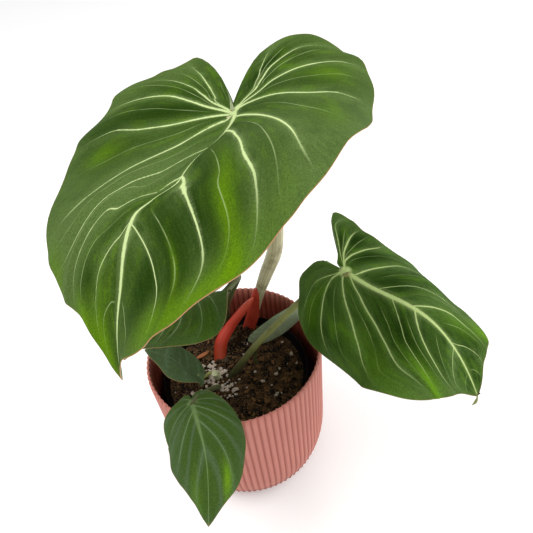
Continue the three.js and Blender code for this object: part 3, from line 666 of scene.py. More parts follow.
def make_blade(name, leaf, top, underside, margin):
    """One leaf: a grid moved into the blade's form, with its measures stored and its thickness added"""
    count = len(leaf["starts"]) - 1
    length = leaf["length"]
    clear_selection()
    bpy.ops.mesh.primitive_grid_add(
        x_subdivisions=2 * leaf["steps"], y_subdivisions=count * leaf["rows"], size=2
    )
    blade = bpy.context.object
    grid = corners_of(blade)
    signed, number = grid[:, 0], (grid[:, 1] + 1) / 2 * count
    share = np.abs(signed)
    measures = {}
    for right in (0, 1):
        half = (signed >= 0) == bool(right)
        for key, values in half_measures(leaf, number[half], share[half], right).items():
            measures.setdefault(key, np.zeros(len(grid)))[half] = values
    x, y, vein_length, drawn, room = (
        measures.pop(key) for key in ("x", "y", "vein_length", "drawn", "room")
    )
    outer = np.clip((share - GREYISH_FROM) / (1 - GREYISH_FROM), 0, 1)
    # A greyish painted sheen lies thinly over the whole blade and grows towards the margin.
    measures["haze"] += leaf.get("base_painted_sheen", 0) + 0.5 * outer
    depth = np.minimum(1, vein_length * room / (FULL_SWELL * length))
    swell = np.sin(np.pi * drawn) ** 2 * share**0.7 * (1 - 0.4 * share) * depth
    sink = vein_ridge(drawn, count) * (1 - share) ** 0.5 * np.minimum(1, share * 6)
    height = leaf["quilt"] * swell - VEIN_SINK * sink
    along = y / length
    swayed = x
    if "sway" in leaf:
        swayed = x + along_table(*leaf["sway"], np.clip(along, 0, 1)) * (1 - share) ** 2
    move_corners(blade, bend_points(leaf, swayed, y, height) * MM)
    store(
        blade, vein_number=drawn, vein_share=share, vein_reach=share * vein_length,
        margin_distance=(1 - share) * vein_length, hub_distance=np.hypot(x, y),
        midrib_distance=np.abs(x), midrib_place=along,
        rib_width=along_table(*leaf["rib"], np.clip(along, 0, 1)),
        vein_gap=measures.pop("gap"), vein_width=measures.pop("width"), **measures,
    )
    thick = blade.vertex_groups.new(name="thick")
    weights = THIN_EDGE + (1 - share) * vein_length / EDGE_GROWTH
    weights = np.clip(weights, THIN_EDGE, 1).round(2)
    for weight in np.unique(weights):
        thick.add(np.where(weights == weight)[0].tolist(), float(weight), "REPLACE")
    tidy_mesh(blade, near=JOIN_WITHIN)
    facing = sum((f.normal * f.area for f in blade.data.polygons), Vector())
    _, _, up = midrib_frame(leaf, np.array([length / 3]))
    if facing.dot(Vector(up[0])) < 0:
        blade.data.flip_normals()
    solid = blade.modifiers.new("thickness", "SOLIDIFY")
    solid.thickness = leaf["thickness"] * MM
    solid.offset = -1
    solid.use_even_offset = False
    solid.vertex_group = "thick"
    solid.material_offset = 1
    solid.material_offset_rim = 2
    for material in (top, underside, margin):
        blade.data.materials.append(material)
    bpy.ops.object.modifier_apply(modifier="thickness")
    slot = "turned_leaf" if name == "turned" else "leaf"
    hand_over(blade, name + "_leaf", slot, nodes=(name + "_leaf_blade",), smooth=60)


print("blade maker ready")

# %% [markdown]
# Velvet leaf. Tiny hairs give a gloriosum its dull, deep green. Between two side veins the green is
# warm, and along them it turns greyish, with darker and brighter patches here and there. Over this
# lie patches of painted shade, brighter glow patches, and a greyish painted sheen that grows towards
# the margin. The veins are almost white, widest near the hub, with feathery edges. All of this is
# drawn from the numbers stored on the blade, which are in millimetres where they are lengths.

# %% Leaf finishes
def beside_vein(tree):
    """How far a point lies from the nearest vein, in vein numbers and in mm"""
    number = attribute(tree, "vein_number")
    beside = calc(tree, "ABSOLUTE", calc(tree, "SUBTRACT", number, calc(tree, "ROUND", number)))
    return beside, times(tree, beside, attribute(tree, "vein_gap"))


def feathery_line(tree, distance, half_width, ragged):
    """Soft pale core of a vein, a weak band on both sides of it, and fine slanting hairs"""
    out, along = attribute(tree, "vein_reach"), attribute(tree, "midrib_place")
    place = point(tree, times(tree, distance, 0.5), times(tree, out, 1.3), times(tree, along, 150))
    fray = calc(tree, "SUBTRACT", noisy(tree, 1.0, 4, vector=place, roughness=0.7), 0.5)
    frayed = scaled(tree, fray, times(tree, half_width, ragged), distance)
    ratio = calc(tree, "DIVIDE", frayed, larger(tree, half_width, 0.05))
    core = falling(tree, ratio, 0.35, 1.1)
    band = falling(tree, ratio, 0.6, 3.0)
    hair_place = point(tree, scaled(tree, distance, -1.6, out), distance)
    hair = rising(tree, noisy(tree, 1.0, 3, vector=hair_place, stretch=(2.4, 0.3, 1)), 0.5, 0.7)
    return larger(tree, core, times(tree, band, scaled(tree, hair, 0.3, 0.08)))


def pale_veins(tree, strength, thin):
    """1 on a vein and 0 on the green: side veins, midrib, hub, and thin veins between the others"""
    share, along = attribute(tree, "vein_share"), attribute(tree, "midrib_place")
    beside, away = beside_vein(tree)
    real = times(tree, rising(tree, attribute(tree, "vein_number"), 0.5, 0.52),
                 falling(tree, share, 0.6, 0.98))
    main = times(tree, feathery_line(tree, away, attribute(tree, "vein_width"), 1.2), real)
    rib = feathery_line(tree, attribute(tree, "midrib_distance"), attribute(tree, "rib_width"), 1.0)
    rib = times(tree, rib, rising(tree, along, -0.02, 0.0))
    hub = falling(tree, attribute(tree, "hub_distance"), 2.5, 6.0)
    between = times(tree, calc(tree, "SUBTRACT", 0.5, beside), attribute(tree, "vein_gap"))
    fine = times(tree, falling(tree, between, 0.12, 0.5), rising(tree, noisy(tree, 60, 3), 0.2, 0.6))
    fine = times(tree, times(tree, fine, rising(tree, share, 0.1, 0.3)), times(tree, real, thin))
    veins = larger(tree, larger(tree, main, larger(tree, rib, hub)), fine)
    return times(tree, veins, strength, clamp=True)


def leaf_top(name, dark, middle, bright, grey_band_and_sheen, vein, strength, thin, patchy=1.0):
    """strength is how pale the veins are and thin how clear the thin ones between them are. patchy
    is how much the green varies from place to place."""
    material, tree, shader = finish_material(name, 0.75, specular=0.04)
    beside, _ = beside_vein(tree)
    grid = point(tree, attribute(tree, "vein_number"), attribute(tree, "vein_share"))
    streak = noisy(tree, 1.0, 3, vector=grid, stretch=(30, 3, 1))
    patch = noisy(tree, 1.0, 3, vector=grid, stretch=(4, 5, 1))
    zone = times(tree, rising(tree, beside, 0.0, 0.3), scaled(tree, streak, 1.2, 0.4))
    # Along the veins the green turns greyish. The same grey is also the colour of the painted sheen
    # below.
    green = mixed(tree, zone, grey_band_and_sheen, middle)
    green = mixed(tree, times(tree, rising(tree, patch, 0.5, 0.66), 0.6 * patchy), green, dark)
    green = mixed(tree, times(tree, falling(tree, patch, 0.34, 0.48), 0.35 * patchy), green, bright)
    uneven = scaled(tree, calc(tree, "ADD", streak, noisy(tree, 25, 3)), 0.9, 0.1)
    # Painted sheen, painted shade and glow patches lie over the green.
    for tone, colour in (("haze", grey_band_and_sheen), ("shade", dark), ("glow", bright)):
        green = mixed(tree, times(tree, attribute(tree, tone), uneven, clamp=True), green, colour)
    speck = scaled(tree, noisy(tree, 1100, 2, roughness=0.8), 1.4, -0.05)
    grain = noisy(tree, 1.0, 2, vector=grid, stretch=(110, 12, 1))
    veins = pale_veins(tree, strength, thin)
    colour = mixed(tree, veins, dimmed(tree, green, scaled(tree, grain, 0.7, speck)), vein)
    edge = times(tree, falling(tree, attribute(tree, "margin_distance"), 0.2, 0.7), 0.5)
    colour = mixed(tree, edge, colour, srgb(140, 116, 66))
    dry_tip = times(tree, rising(tree, attribute(tree, "midrib_place"), 0.975, 1.0), 0.7)
    paint(tree, shader, mixed(tree, dry_tip, colour, srgb(142, 108, 60)))
    relief = scaled(tree, veins, -0.2, times(tree, streak, 0.6))
    bump(tree, shader, scaled(tree, noisy(tree, 1200, 2), 0.35, relief), 0.0006, 0.5)
    return material


def leaf_underside(name, base, vein, gloss=0.35):
    material, tree, shader = finish_material(name, 0.5, specular=gloss, sheen=0.3 * gloss)
    _, away = beside_vein(tree)
    main = times(tree, falling(tree, away, 0.5, 1.1),
                 rising(tree, attribute(tree, "vein_number"), 0.5, 0.52))
    rib = falling(tree, attribute(tree, "midrib_distance"), 1.0, 1.8)
    veins = times(tree, larger(tree, main, rib), 0.7)
    green = dimmed(tree, base, scaled(tree, noisy(tree, 120, 3), 0.5, 0.75))
    paint(tree, shader, mixed(tree, veins, green, vein))
    bump(tree, shader, veins, 0.0008, 0.6)
    return material


def leaf_margin(name, colour):
    material, tree, shader = finish_material(name, 0.55, specular=0.3)
    paint(tree, shader, dimmed(tree, colour, scaled(tree, noisy(tree, 300, 2), 0.4, 0.8)))
    return material


TOPS = {
    "large": leaf_top("large_leaf_velvet", srgb(32, 56, 4), srgb(50, 74, 18), srgb(86, 122, 4),
                      srgb(80, 102, 50), srgb(196, 214, 150), 0.95, thin=0.35),
    "right": leaf_top("right_leaf_velvet", srgb(28, 52, 4), srgb(56, 84, 24), srgb(90, 132, 20),
                      srgb(82, 106, 54), srgb(186, 206, 134), 0.95, thin=0.35),
    "front": leaf_top("front_leaf_velvet", srgb(52, 72, 34), srgb(60, 84, 32), srgb(104, 144, 26),
                      srgb(76, 96, 62), srgb(128, 152, 98), 0.5, thin=0.1, patchy=0.15),
    "shaded": leaf_top("shaded_leaf_velvet", srgb(54, 72, 32), srgb(62, 84, 32), srgb(76, 112, 20),
                       srgb(72, 92, 54), srgb(146, 168, 110), 0.6, thin=0.3),
    "side": leaf_top("side_leaf_velvet", srgb(56, 72, 46), srgb(64, 82, 50), srgb(70, 92, 50),
                     srgb(72, 92, 62), srgb(92, 114, 80), 0.4, thin=0.2),
}
UNDERSIDES = {
    # The shaded leaf's back is painted dark green, as painted shade under the large leaf.
    "shaded": leaf_underside("shaded_leaf_back", srgb(44, 62, 16), srgb(66, 86, 34), gloss=0.1),
    "turned": leaf_underside("turned_leaf_green", srgb(142, 158, 124), srgb(160, 174, 142)),
}
green_underside = leaf_underside("leaf_underside", srgb(104, 124, 78), srgb(160, 170, 124))
salmon_margin = leaf_margin("salmon_margin", srgb(196, 140, 104))
tan_margin = leaf_margin("tan_margin", srgb(112, 100, 60))
print("leaf finishes ready")

# %% [markdown]
# With the maker and the finishes ready, the six blades follow from their measures. The turned leaf
# shows its pale underside, so both of its faces have that finish.

# %% Make the blades
for name, leaf in LEAVES.items():
    underside = UNDERSIDES.get(name, green_underside)
    margin = salmon_margin if name == "large" else tan_margin
    make_blade(name, leaf, TOPS.get(name, underside), underside, margin)
print("six blades made")

# %% [markdown]
# The cover pot is thrown round its axis: one outline of its wall is spun once round. Its ribs are
# then pressed in, because a groove is the same place on every ring.

# %% Cover pot shape
RIBS = 84
COLUMNS_PER_RIB = 10
RIB_DEPTH = 1.0
INNER_DEPTH = 0.9  # depth of a groove inside, as a share of that outside
GROOVE_SHARE = 0.36  # half a groove's width, as a share of a rib's
CROWN = 0.25  # mm by which the middle of a rib stands out
PLAIN_FOOT = 0.3  # mm above the base without ribs
POT_HEIGHT, RIM_RADIUS, WALL_LEAN = 126, 70, 0.029
CORNER_HEIGHT, FOOT_RADIUS, WALL, FLOOR = 43.5, 47, 3, 4
# Below the rim the inner wall is painted darker and redder, as painted shade that is full this many mm
# down.
SHADED_DEPTH = 12  # below the rim the inner wall is in full shade


def spin_outline(points, steps):
    """A closed turned shape. Its outline is (radius, height) in mm and starts and ends on the axis."""
    corners = [(r * MM, 0, z * MM) for r, z in points]
    piece = new_piece("outline", corners, edges=[(i, i + 1) for i in range(len(corners) - 1)])
    pick(piece)
    bpy.ops.object.mode_set(mode="EDIT")
    bpy.ops.mesh.select_all(action="SELECT")
    bpy.ops.mesh.spin(steps=steps, angle=2 * math.pi, center=(0, 0, 0), axis=(0, 0, 1))
    bpy.ops.object.mode_set(mode="OBJECT")
    tidy_mesh(piece, outwards=True)
    return piece


def outer_radius(z):
    if z >= CORNER_HEIGHT:
        return RIM_RADIUS - (POT_HEIGHT - z) * WALL_LEAN
    shoulder = RIM_RADIUS - (POT_HEIGHT - CORNER_HEIGHT) * WALL_LEAN
    rise = 1 - z / CORNER_HEIGHT
    return FOOT_RADIUS + (shoulder - FOOT_RADIUS) * math.sqrt(max(0, 1 - rise * rise))


def inner_radius(z):
    return RIM_RADIUS - WALL - (POT_HEIGHT - z) * WALL_LEAN


outside = [(outer_radius(z), z) for z in (0, 0.6, 2, 4.5, 8, 13, 19, 26, 34, 43.5, 60, 80, 100, 118)]
rim = [(RIM_RADIUS - 0.1, 124.4), (RIM_RADIUS - 0.7, 125.6), (RIM_RADIUS - 1.5, 126),
       (RIM_RADIUS - WALL + 0.7, 125.6), (RIM_RADIUS - WALL + 0.1, 124.4)]
inside = [(inner_radius(z), z) for z in (118, 110, 100, 80, 60, 40)]
inside += [(58, 18), (FOOT_RADIUS, FLOOR)]
pot = spin_outline([(0, 0), *outside, *rim, *inside, (0, FLOOR)], RIBS * COLUMNS_PER_RIB)
points = corners_of(pot)
radius = np.hypot(points[:, 0], points[:, 1])
height = points[:, 2] / MM
outer_face = radius / MM > np.array([(outer_radius(z) + inner_radius(z)) / 2 for z in height])
on_wall = (radius / MM > FOOT_RADIUS - 1) & ((height > PLAIN_FOOT) | outer_face)
turn_share = np.arctan2(points[:, 1], points[:, 0]) / (2 * math.pi)
from_groove = np.abs((turn_share * RIBS + 0.5) % 1 - 0.5)
groove = np.clip(1 - from_groove / GROOVE_SHARE, 0, 1) ** 1.5
crown = CROWN * np.cos(math.pi * (0.5 - from_groove)) - CROWN
push = np.where(outer_face, -groove * RIB_DEPTH + crown, groove * RIB_DEPTH * INNER_DEPTH)
push = np.where(on_wall & (height > PLAIN_FOOT) & (radius > 0.01), push, 0) * MM
points[:, :2] *= ((radius + push) / np.maximum(radius, 1e-9))[:, None]
move_corners(pot, points)
# Painted shade on the inner wall, growing from the rim down to SHADED_DEPTH.
inner = np.where(outer_face, 0, np.clip((POT_HEIGHT - height) / SHADED_DEPTH, 0, 1))
store(pot, groove=np.where(on_wall, groove, 0), inner=inner)
print("ribs:", RIBS)

# %% [markdown]
# The pot is matt, dusty salmon pink. Painted shade darkens its grooves a little, and painted shade,
# reddened as by light bounced inside the pot, makes its inside redder and darker than its outside.

# %% Cover pot finish
pot_finish, tree, shader = finish_material("matt_salmon", 0.62, specular=0.35)
grain = noisy(tree, 700, 3)
body = mixed(tree, noisy(tree, 18, 3), srgb(182, 108, 94), srgb(196, 124, 110))
# The grooves get painted shade, and the inside gets painted shade reddened as by light bounced inside the
# pot.
colour = mixed(tree, calc(tree, "POWER", attribute(tree, "groove"), 0.8), body, srgb(164, 94, 82))
colour = mixed(tree, attribute(tree, "inner"), colour, srgb(134, 50, 28))
paint(tree, shader, mixed(tree, times(tree, grain, 0.12), colour, srgb(226, 170, 156)))
bump(tree, shader, grain, 0.0002, 0.4)
hand_over(pot, "ribbed_pot", "cover_pot", pot_finish, nodes=("cover_pot",), smooth=50)

# %% [markdown]
# The nursery pot is thin black plastic with a rolled lip. Only the lip and a little of the inside
# show, but the whole pot is turned so that it looks right from every side.

# %% Nursery pot
NURSERY_SHIFT = -2  # along x, because the pot stands a little to the left in the cover pot
nursery_outline = [
    (0, 4.3), (41, 4.3), (42, 5.2), (57.4, 94), (59.6, 94.3), (60, 95), (60, 99.2), (59.6, 99.9),
    (59.2, 100), (58.8, 99.6), (58.7, 98), (57.2, 95.4), (56.2, 94.2), (40.9, 6.4), (40, 5.7), (0, 5.7),
]
nursery = spin_outline(nursery_outline, 128)
move_corners(nursery, corners_of(nursery) + np.array([NURSERY_SHIFT * MM, 0, 0]))
black_plastic, tree, shader = finish_material("black_plastic", 0.38, specular=0.2)
dust = times(tree, rising(tree, noisy(tree, 60, 5), 0.5, 0.8), 0.5)
paint(tree, shader, mixed(tree, dust, srgb(6, 7, 8), srgb(30, 26, 24)))
bump(tree, shader, noisy(tree, 500, 2), 0.0001, 0.3)
hand_over(nursery, "black_pot", "nursery_pot", black_plastic, nodes=("nursery_pot",), smooth=30)

# %% [markdown]
# Potting mix is a heap of crumbs. The heap is one turned shape with an uneven top, a little higher
# in the middle and against the foot of the red wrap.

# %% Soil heap
SOIL_LEVEL, SOIL_CROWN, SOIL_LUMP, LUMP_PITCH = 93, 2, 0.9, 17
SOIL_FOOT, SOIL_RADIUS, SOIL_CORNER = 40.4, 55.6, 92
CROWN_RADIUS = 57.4  # where the crown has fallen back to the soil's level
MOUND, MOUND_X, MOUND_Y, MOUND_SPREAD = 5, 15, 37, 90  # spread in square mm
CRUMB_RELIEF, CRUMBS_PER_MM = 0.9, 0.35
FLAT_EDGE = 3  # mm from the wall over which the crumbs flatten
TOP_DROP = 0.4


def soil_height(x, y):
    k = 2 * math.pi / LUMP_PITCH
    lumps = np.sin(k * x + 1) * np.cos(k * y) + 0.5 * np.sin(1.7 * k * (x - y) + 2)
    out = np.hypot(x - NURSERY_SHIFT, y) / CROWN_RADIUS
    mound = MOUND * np.exp(-((x - MOUND_X) ** 2 + (y - MOUND_Y) ** 2) / MOUND_SPREAD)
    return SOIL_LEVEL + SOIL_CROWN * (1 - out**2) + SOIL_LUMP * lumps + mound


soil_outline = [(0, 6), (SOIL_FOOT, 6), (SOIL_RADIUS, SOIL_CORNER)]
soil_outline += [(r, SOIL_LEVEL) for r in np.linspace(SOIL_RADIUS, 0, 76)]
soil = spin_outline(soil_outline, 260)
points = corners_of(soil)
is_top = points[:, 2] > (SOIL_LEVEL - 0.5) * MM
x = points[:, 0] / MM + NURSERY_SHIFT
y = points[:, 1] / MM
crumbly = np.array([
    noise.fractal(Vector((a * CRUMBS_PER_MM, b * CRUMBS_PER_MM, 3.1)), 0.6, 2.2, 5)
    for a, b in zip(x, y)
])
away = np.clip((SOIL_RADIUS - np.hypot(points[:, 0], points[:, 1]) / MM) / FLAT_EDGE, 0, 1)
points[:, 0] += NURSERY_SHIFT * MM
uneven_top = soil_height(x, y) + CRUMB_RELIEF * crumbly * away - TOP_DROP
points[:, 2] = np.where(is_top, uneven_top * MM, points[:, 2])
move_corners(soil, points)
dark_mix, tree, shader = finish_material("potting_mix", 0.9, specular=0.2)
coarse, fine = noisy(tree, 160, 6), noisy(tree, 900, 4)
colour = mixed(tree, rising(tree, coarse, 0.4, 0.62), srgb(16, 10, 5), srgb(80, 58, 34))
paint(tree, shader, mixed(tree, rising(tree, fine, 0.58, 0.68), colour, srgb(156, 124, 88)))
bump(tree, shader, calc(tree, "ADD", coarse, fine), 0.0012, 0.9)
hand_over(soil, "potting_soil", "soil", dark_mix, nodes=("soil",), smooth=70)

# %% [markdown]
# Each loose grain is a small ball whose corners are pulled about. The ball is modelled once and
# copied with its own size and turn, at places drawn by chance with a fixed seed.

# %% Grain maker
random = np.random.default_rng(7)
STREWN_RADIUS = 54.5


def base_grain(detail):
    """Corners and faces of a round ball with a radius of 1"""
    clear_selection()
    bpy.ops.mesh.primitive_ico_sphere_add(subdivisions=detail, radius=1)
    ball = bpy.context.object
    corners = corners_of(ball)
    faces = np.array([p.vertices[:] for p in ball.data.polygons])
    bpy.data.objects.remove(ball)
    return corners, faces


def strew(name, places, sizes, flatness, detail, rough, material, long=1.0):
    """Grains of the given sizes in mm at (x, y, z) places in mm, in one piece"""
    corners, faces = base_grain(detail)
    all_corners, all_faces = [], []
    for index, (place, size) in enumerate(zip(places, sizes)):
        pulls = 1 + rough * (random.random(len(corners)) - 0.5)
        shape = corners * pulls[:, None] * np.array([long, 1, flatness]) * size / 2
        spin, lean = random.random() * 2 * math.pi, (random.random() - 0.5) * 0.9
        turned = np.array(Matrix.Rotation(spin, 3, "Z") @ Matrix.Rotation(lean, 3, "X"))
        all_corners.append(shape @ turned.T + place)
        all_faces.append(faces + index * len(corners))
    corners = (np.concatenate(all_corners) * MM).tolist()
    piece = new_piece(name, corners, faces=np.concatenate(all_faces).tolist())
    hand_over(piece, name, "soil", material, smooth=35)


def round_place(middle, out):
    """Points at the given distances from a middle, each in a direction drawn by chance"""
    turns = random.random(len(out)) * 2 * math.pi
    return middle[0] + out * np.cos(turns), middle[1] + out * np.sin(turns)


def on_soil(count, middle=(NURSERY_SHIFT, 0), spread=54, even=True, lift=0.2):
    """Random places on the heap: even over a disc, or gathered about a middle"""
    if even:
        x, y = round_place(middle, spread * np.sqrt(random.random(count)))
    else:
        x, y = (middle[k] + spread * random.normal(size=count) for k in (0, 1))
    keep = np.hypot(x - NURSERY_SHIFT, y) < STREWN_RADIUS
    x, y = x[keep], y[keep]
    return np.stack([x, y, soil_height(x, y) + lift], -1)


def heap(count, middle, spread, top):
    """Places piled up round a point, up to top mm high in the middle"""
    out = np.sqrt(random.random(count))
    x, y = round_place(middle, spread * out)
    return np.stack([x, y, soil_height(x, y) + top * (1 - out**2) * random.random(count)], -1)


def grain_sizes(places, least, spread):
    """Many small sizes and few large ones, in mm"""
    return least + spread * random.random(len(places)) ** 2


print("grain maker ready")

# %% [markdown]
# Crumbs lie everywhere and are heaped where stalks and sheaths come out. Bark chips and fibres are
# scattered over them. Most of the white perlite lies round the old stub and in front of it.

# %% Crumbs, bark, fibres and perlite
crumbs = np.concatenate([
    on_soil(1500), heap(260, (14, 35), 11, 6), heap(120, (-3, 30), 8, 3.5), heap(90, (-13, 11), 7, 3),
])
strew("soil_crumbs", crumbs, grain_sizes(crumbs, 0.8, 2.2), 0.8, 1, 0.7, dark_mix)

bark = mottled_finish("bark_brown", 0.85, 0.2, (90, 2), srgb(52, 34, 18), srgb(132, 96, 58),
                      (800, 3), 0.0004, 0.7)
chips = on_soil(190)
strew("bark_chips", chips, grain_sizes(chips, 1.2, 2.4), 0.4, 1, 0.6, bark, long=1.8)
fibres = on_soil(160, lift=0.8)
strew("root_fibres", fibres, np.full(len(fibres), 0.7), 0.8, 1, 0.3, bark, long=7)

white_grain = mottled_finish("perlite_white", 0.8, 0.3, (250, 3), srgb(156, 140, 122),
                             srgb(222, 208, 192), (1400, 3), 0.0004, 0.8)
near_stub = on_soil(72, (-21, 4), 6, even=False, lift=1.2)
near_front = on_soil(48, (-15, -13), 7, even=False, lift=1.0)
perlite = np.concatenate([near_stub, near_front, on_soil(34, lift=0.7)])
strew("perlite", perlite, grain_sizes(perlite, 1.2, 2.2), 0.8, 2, 0.75, white_grain, long=1.2)

# %% [markdown]
# Stalks are round bars along a smooth route that get thinner towards the blade. A ring of corners
# follows the route without twisting, and its radius changes along the way.

# %% Bars along routes
def make_bar(route, radii, sides=18, steps=10):
    """A closed tapered bar. It stores 'along' its length, and 'around' and 'depth' for the way round."""
    route = np.asarray(route, float)
    places = np.linspace(0, len(route) - 1, (len(route) - 1) * steps + 1)
    line = np.stack([along_list(route[:, k], places) for k in range(3)], -1)
    count = len(line)
    share = np.linspace(0, 1, count)
    width = along_list(radii, share * (len(radii) - 1))
    ahead = np.gradient(line, axis=0)
    ahead /= np.linalg.norm(ahead, axis=1)[:, None]
    side = np.cross(ahead[0], (0.3, 0.2, 1))
    sides_out = []
    for direction in ahead:
        side = side - direction * side.dot(direction)
        side /= np.linalg.norm(side)
        sides_out.append(side.copy())
    side = np.array(sides_out)
    other = np.cross(ahead, side)
    turns = np.arange(sides) / sides * 2 * math.pi
    ring = side[:, None] * np.cos(turns)[None, :, None] + other[:, None] * np.sin(turns)[None, :, None]
    corners = line[:, None] + ring * width[:, None, None]
    corners = np.concatenate([corners.reshape(-1, 3), line[:1], line[-1:]])
    first, last = count * sides, count * sides + 1
    faces = []
    for i in range(sides):
        j = (i + 1) % sides
        for k in range(count - 1):
            faces.append((k * sides + i, k * sides + j, (k + 1) * sides + j, (k + 1) * sides + i))
        faces.append((first, j, i))
        faces.append((last, (count - 1) * sides + i, (count - 1) * sides + j))
    piece = new_piece("bar", (corners * MM).tolist(), faces=faces)
    store(
        piece, along=np.concatenate([np.repeat(share, sides), [0, 1]]),
        around=np.concatenate([np.tile(np.cos(turns), count), [0, 0]]),
        depth=np.concatenate([np.tile(np.sin(turns), count), [0, 0]]),
    )
    return piece


def stem_finish(name, base, pale, dark, roughness=0.5, streak=0.6, foot=None):
    """Skin of a stalk: fine streaks along it, dark clouds, and a darker foot if one is given"""
    material, tree, shader = finish_material(name, roughness, specular=0.35, sheen=0.05)
    around, along, depth = (attribute(tree, key) for key in ("around", "along", "depth"))
    lines = noisy(tree, 1.0, 3, vector=point(tree, around, depth, along), stretch=(9, 9, 2))
    colour = mixed(tree, rising(tree, lines, 0.5 - 0.3 * streak, 0.5 + 0.3 * streak), base, pale)
    clouds = times(tree, rising(tree, noisy(tree, 70, 3), 0.5, 0.75), 0.7)
    colour = mixed(tree, clouds, colour, dark)
    if foot:
        colour = mixed(tree, rising(tree, along, 0.03, 0.3), foot, colour)
    paint(tree, shader, colour)
    bump(tree, shader, lines, 0.0004, 0.5)
    return material


print("bar maker ready")

# %% [markdown]
# Every stalk comes out of the soil and runs to the hub of its blade. All but the turned leaf's
# start at the creeping stem.

# %% Stalks
JOINT_REACH = 2.5  # mm that a stalk runs on past the hub, beyond its own radius
JOINT_DEPTH = 0.5  # mm below the blade's upper face
olive = stem_finish("olive_stalk", srgb(118, 120, 58), srgb(148, 154, 90), srgb(88, 80, 42),
                    foot=srgb(44, 46, 14))
grey_green = stem_finish("grey_green_stalk", srgb(150, 144, 100), srgb(212, 206, 168), srgb(112, 98, 60),
                         streak=0.9)
dark_olive = stem_finish("dark_olive_stalk", srgb(60, 66, 26), srgb(86, 94, 44), srgb(42, 38, 16))
STALKS = {
    "large": dict(
        route=[(15, 44, 90), (24, 45, 112), (31, 42, 136), (39, 32, 167), (47, 23, 197),
               (49, 16, 235), (42, 8, 280)],
        radii=[4.8, 4.2, 4.4, 5.4, 5.8, 5, 4.4, 3.8], skin=grey_green),
    "right": dict(
        route=[(-11, -2, 89), (14, -1, 119), (33, -4, 142), (54, -8, 166), (73, -14, 186)],
        radii=[3.1, 2.7, 2.6, 2.6, 2.4], skin=olive),
    "front": dict(
        route=[(-17, -7, 89), (-20, -15, 102), (-27, -32, 122), (-33, -46, 136)],
        radii=[2.4, 2.2, 2, 2, 1.9], skin=dark_olive),
    "shaded": dict(
        route=[(0, 40, 89), (1, 48, 108), (3, 44, 130), (9, 36, 152), (16, 28, 173),
               (12, 12, 184), (-1, -4, 188)],
        radii=[3, 2.8, 2.7, 2.7, 2.7, 2.6, 2.4, 2.2], skin=dark_olive),
    "side": dict(
        route=[(-15, 8, 90), (-22, 6, 95.5), (-31, 0, 99)],
        radii=[1.8, 1.7, 1.6, 1.5], skin=olive),
    "turned": dict(
        route=[(16, 4, 80), (16, 5, 98), (18, 7, 108)],
        radii=[1.3, 1.2, 1.2, 1.1], skin=dark_olive),
}
for name, stalk in STALKS.items():
    leaf = LEAVES[name]
    past_hub = np.array([stalk["radii"][-1] + JOINT_REACH])
    end = bend_points(leaf, np.zeros(1), past_hub, np.array([-JOINT_DEPTH]))[0]
    bar = make_bar([*stalk["route"], end], stalk["radii"])
    hand_over(bar, name + "_stalk", "stalk", stalk["skin"], nodes=(name + "_leaf_stalk",), smooth=60)

# %% [markdown]
# The right leaf ends in a drip tip, a dry thread that has curled back under the blade.

# %% Drip tip
INSIDE_TIP = 1.0  # mm
near_end = np.array([LEAVES["right"]["length"] - INSIDE_TIP])
right_tip = bend_points(LEAVES["right"], np.zeros(1), near_end, np.zeros(1))[0]
curl_steps = [(1.5, 0, 1.5), (0, 0, 0), (-0.4, -1, -1.2), (-2.2, -2.6, -3), (-5, -3.6, -3.8)]
drip_tip = make_bar(right_tip + np.array(curl_steps), [0.5, 0.4, 0.5, 0.9, 0.2], sides=10, steps=6)
hand_over(drip_tip, "drip_tip", "leaf", olive, smooth=60)

# %% [markdown]
# The creeping stem lies half in the soil, rough and brown.

# %% Creeping stem
ROUGHNESS_HEIGHT, LUMPS_PER_METRE = 0.4, 260
stem_route = [(-24, -17, 86), (-17, -5, 89), (-14, 8, 89.5), (-9, 24, 89.5), (2, 37, 89.5),
              (15, 43, 89), (22, 42, 84)]
stem = make_bar(stem_route, [4, 6.5, 6.5, 4], sides=24, steps=16)
points = corners_of(stem)
rough = np.array([noise.fractal(Vector(p) * LUMPS_PER_METRE, 0.7, 2.1, 4) for p in points])
outwards = np.array([Vector(n.vector) for n in stem.data.vertex_normals])
move_corners(stem, points + outwards * (rough * ROUGHNESS_HEIGHT * MM)[:, None])
stem_skin = stem_finish("creeping_stem_skin", srgb(58, 44, 30), srgb(96, 76, 50), srgb(30, 22, 16), 0.85)
hand_over(stem, "creeping_stem", "rhizome", stem_skin, nodes=("rhizome",), smooth=60)

# %% [markdown]
# The red horn is a sheath that holds the next leaf. It is smooth and slightly glossy, coral red,
# darker along its shaded side and at its foot, and paler towards its tip. The lit side of its foot
# has a little orange.

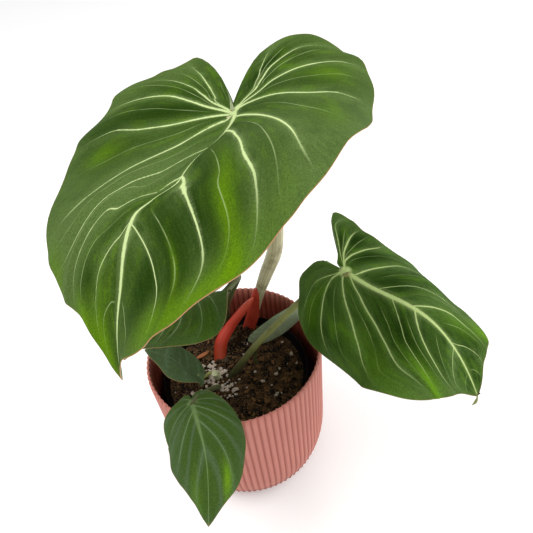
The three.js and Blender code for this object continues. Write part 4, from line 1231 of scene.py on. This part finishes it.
# %% Red horn
horn_route = [(-14, 16, 88), (-11, 26, 98), (-7, 31, 105), (2, 36, 113), (12, 37, 124),
              (20, 37, 133), (26, 36, 140)]
horn = make_bar(horn_route, [5.2, 5.6, 5.4, 4.6, 3.8, 2.8, 0.7], sides=24, steps=12)
coral, tree, shader = finish_material("coral_sheath", 0.42, specular=0.3)
along = attribute(tree, "along")
side_shade = rising(tree, attribute(tree, "depth"), -0.4, 0.9)
foot = falling(tree, along, 0.12, 0.4)
lit_foot = times(tree, foot, opposite(tree, side_shade))
colour = mixed(tree, side_shade, srgb(206, 66, 48), srgb(104, 14, 8))
for share, tint in (
    (times(tree, noisy(tree, 90, 3), 0.4), srgb(196, 66, 46)),
    (times(tree, foot, 0.6), srgb(116, 22, 18)),
    (times(tree, rising(tree, along, 0.55, 0.95), 0.5), srgb(230, 108, 78)),
    (times(tree, lit_foot, 0.12), srgb(232, 120, 40)),
):
    colour = mixed(tree, share, colour, tint)
paint(tree, shader, colour)
bump(tree, shader, noisy(tree, 200, 2), 0.0003, 0.4)
hand_over(horn, "coral_horn", "red_sheath", coral, nodes=("red_horn",), smooth=60)

# %% [markdown]
# Three small leftovers lie in the pot: the red wrap round the large stalk's foot, the pale cut foot
# of an old stalk, and a dry brown sheath. The wrap and the dry sheath keep their solids.

# %% Wrap, stub and dry scrap
def dress(node, material):
    """Gives a CAD node its finish"""
    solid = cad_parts[node]
    solid.data.materials.clear()
    solid.data.materials.append(material)
    print(node, "dressed")


dress("red_foot_wrap", mottled_finish(
    "deep_red_wrap", 0.45, 0.4, (80, 3), srgb(176, 48, 34), srgb(212, 84, 62), (300, 2), 0.0003, 0.4))
dress("dry_sheath_scrap", mottled_finish(
    "dry_sheath_brown", 0.7, 0.3, (200, 3), srgb(120, 66, 36), srgb(176, 110, 66), (500, 3), 0.0004, 0.6))
stub = make_bar([(-17, 1, 90), (-18, -1, 99), (-19, -3, 105)], [3.2, 3, 2.9, 2.5], sides=20, steps=8)
pale_stub = stem_finish("pale_stub", srgb(188, 196, 142), srgb(222, 224, 186), srgb(156, 156, 104))
hand_over(stub, "cut_stub", "stub", pale_stub, nodes=("old_stalk_stub",), smooth=40)
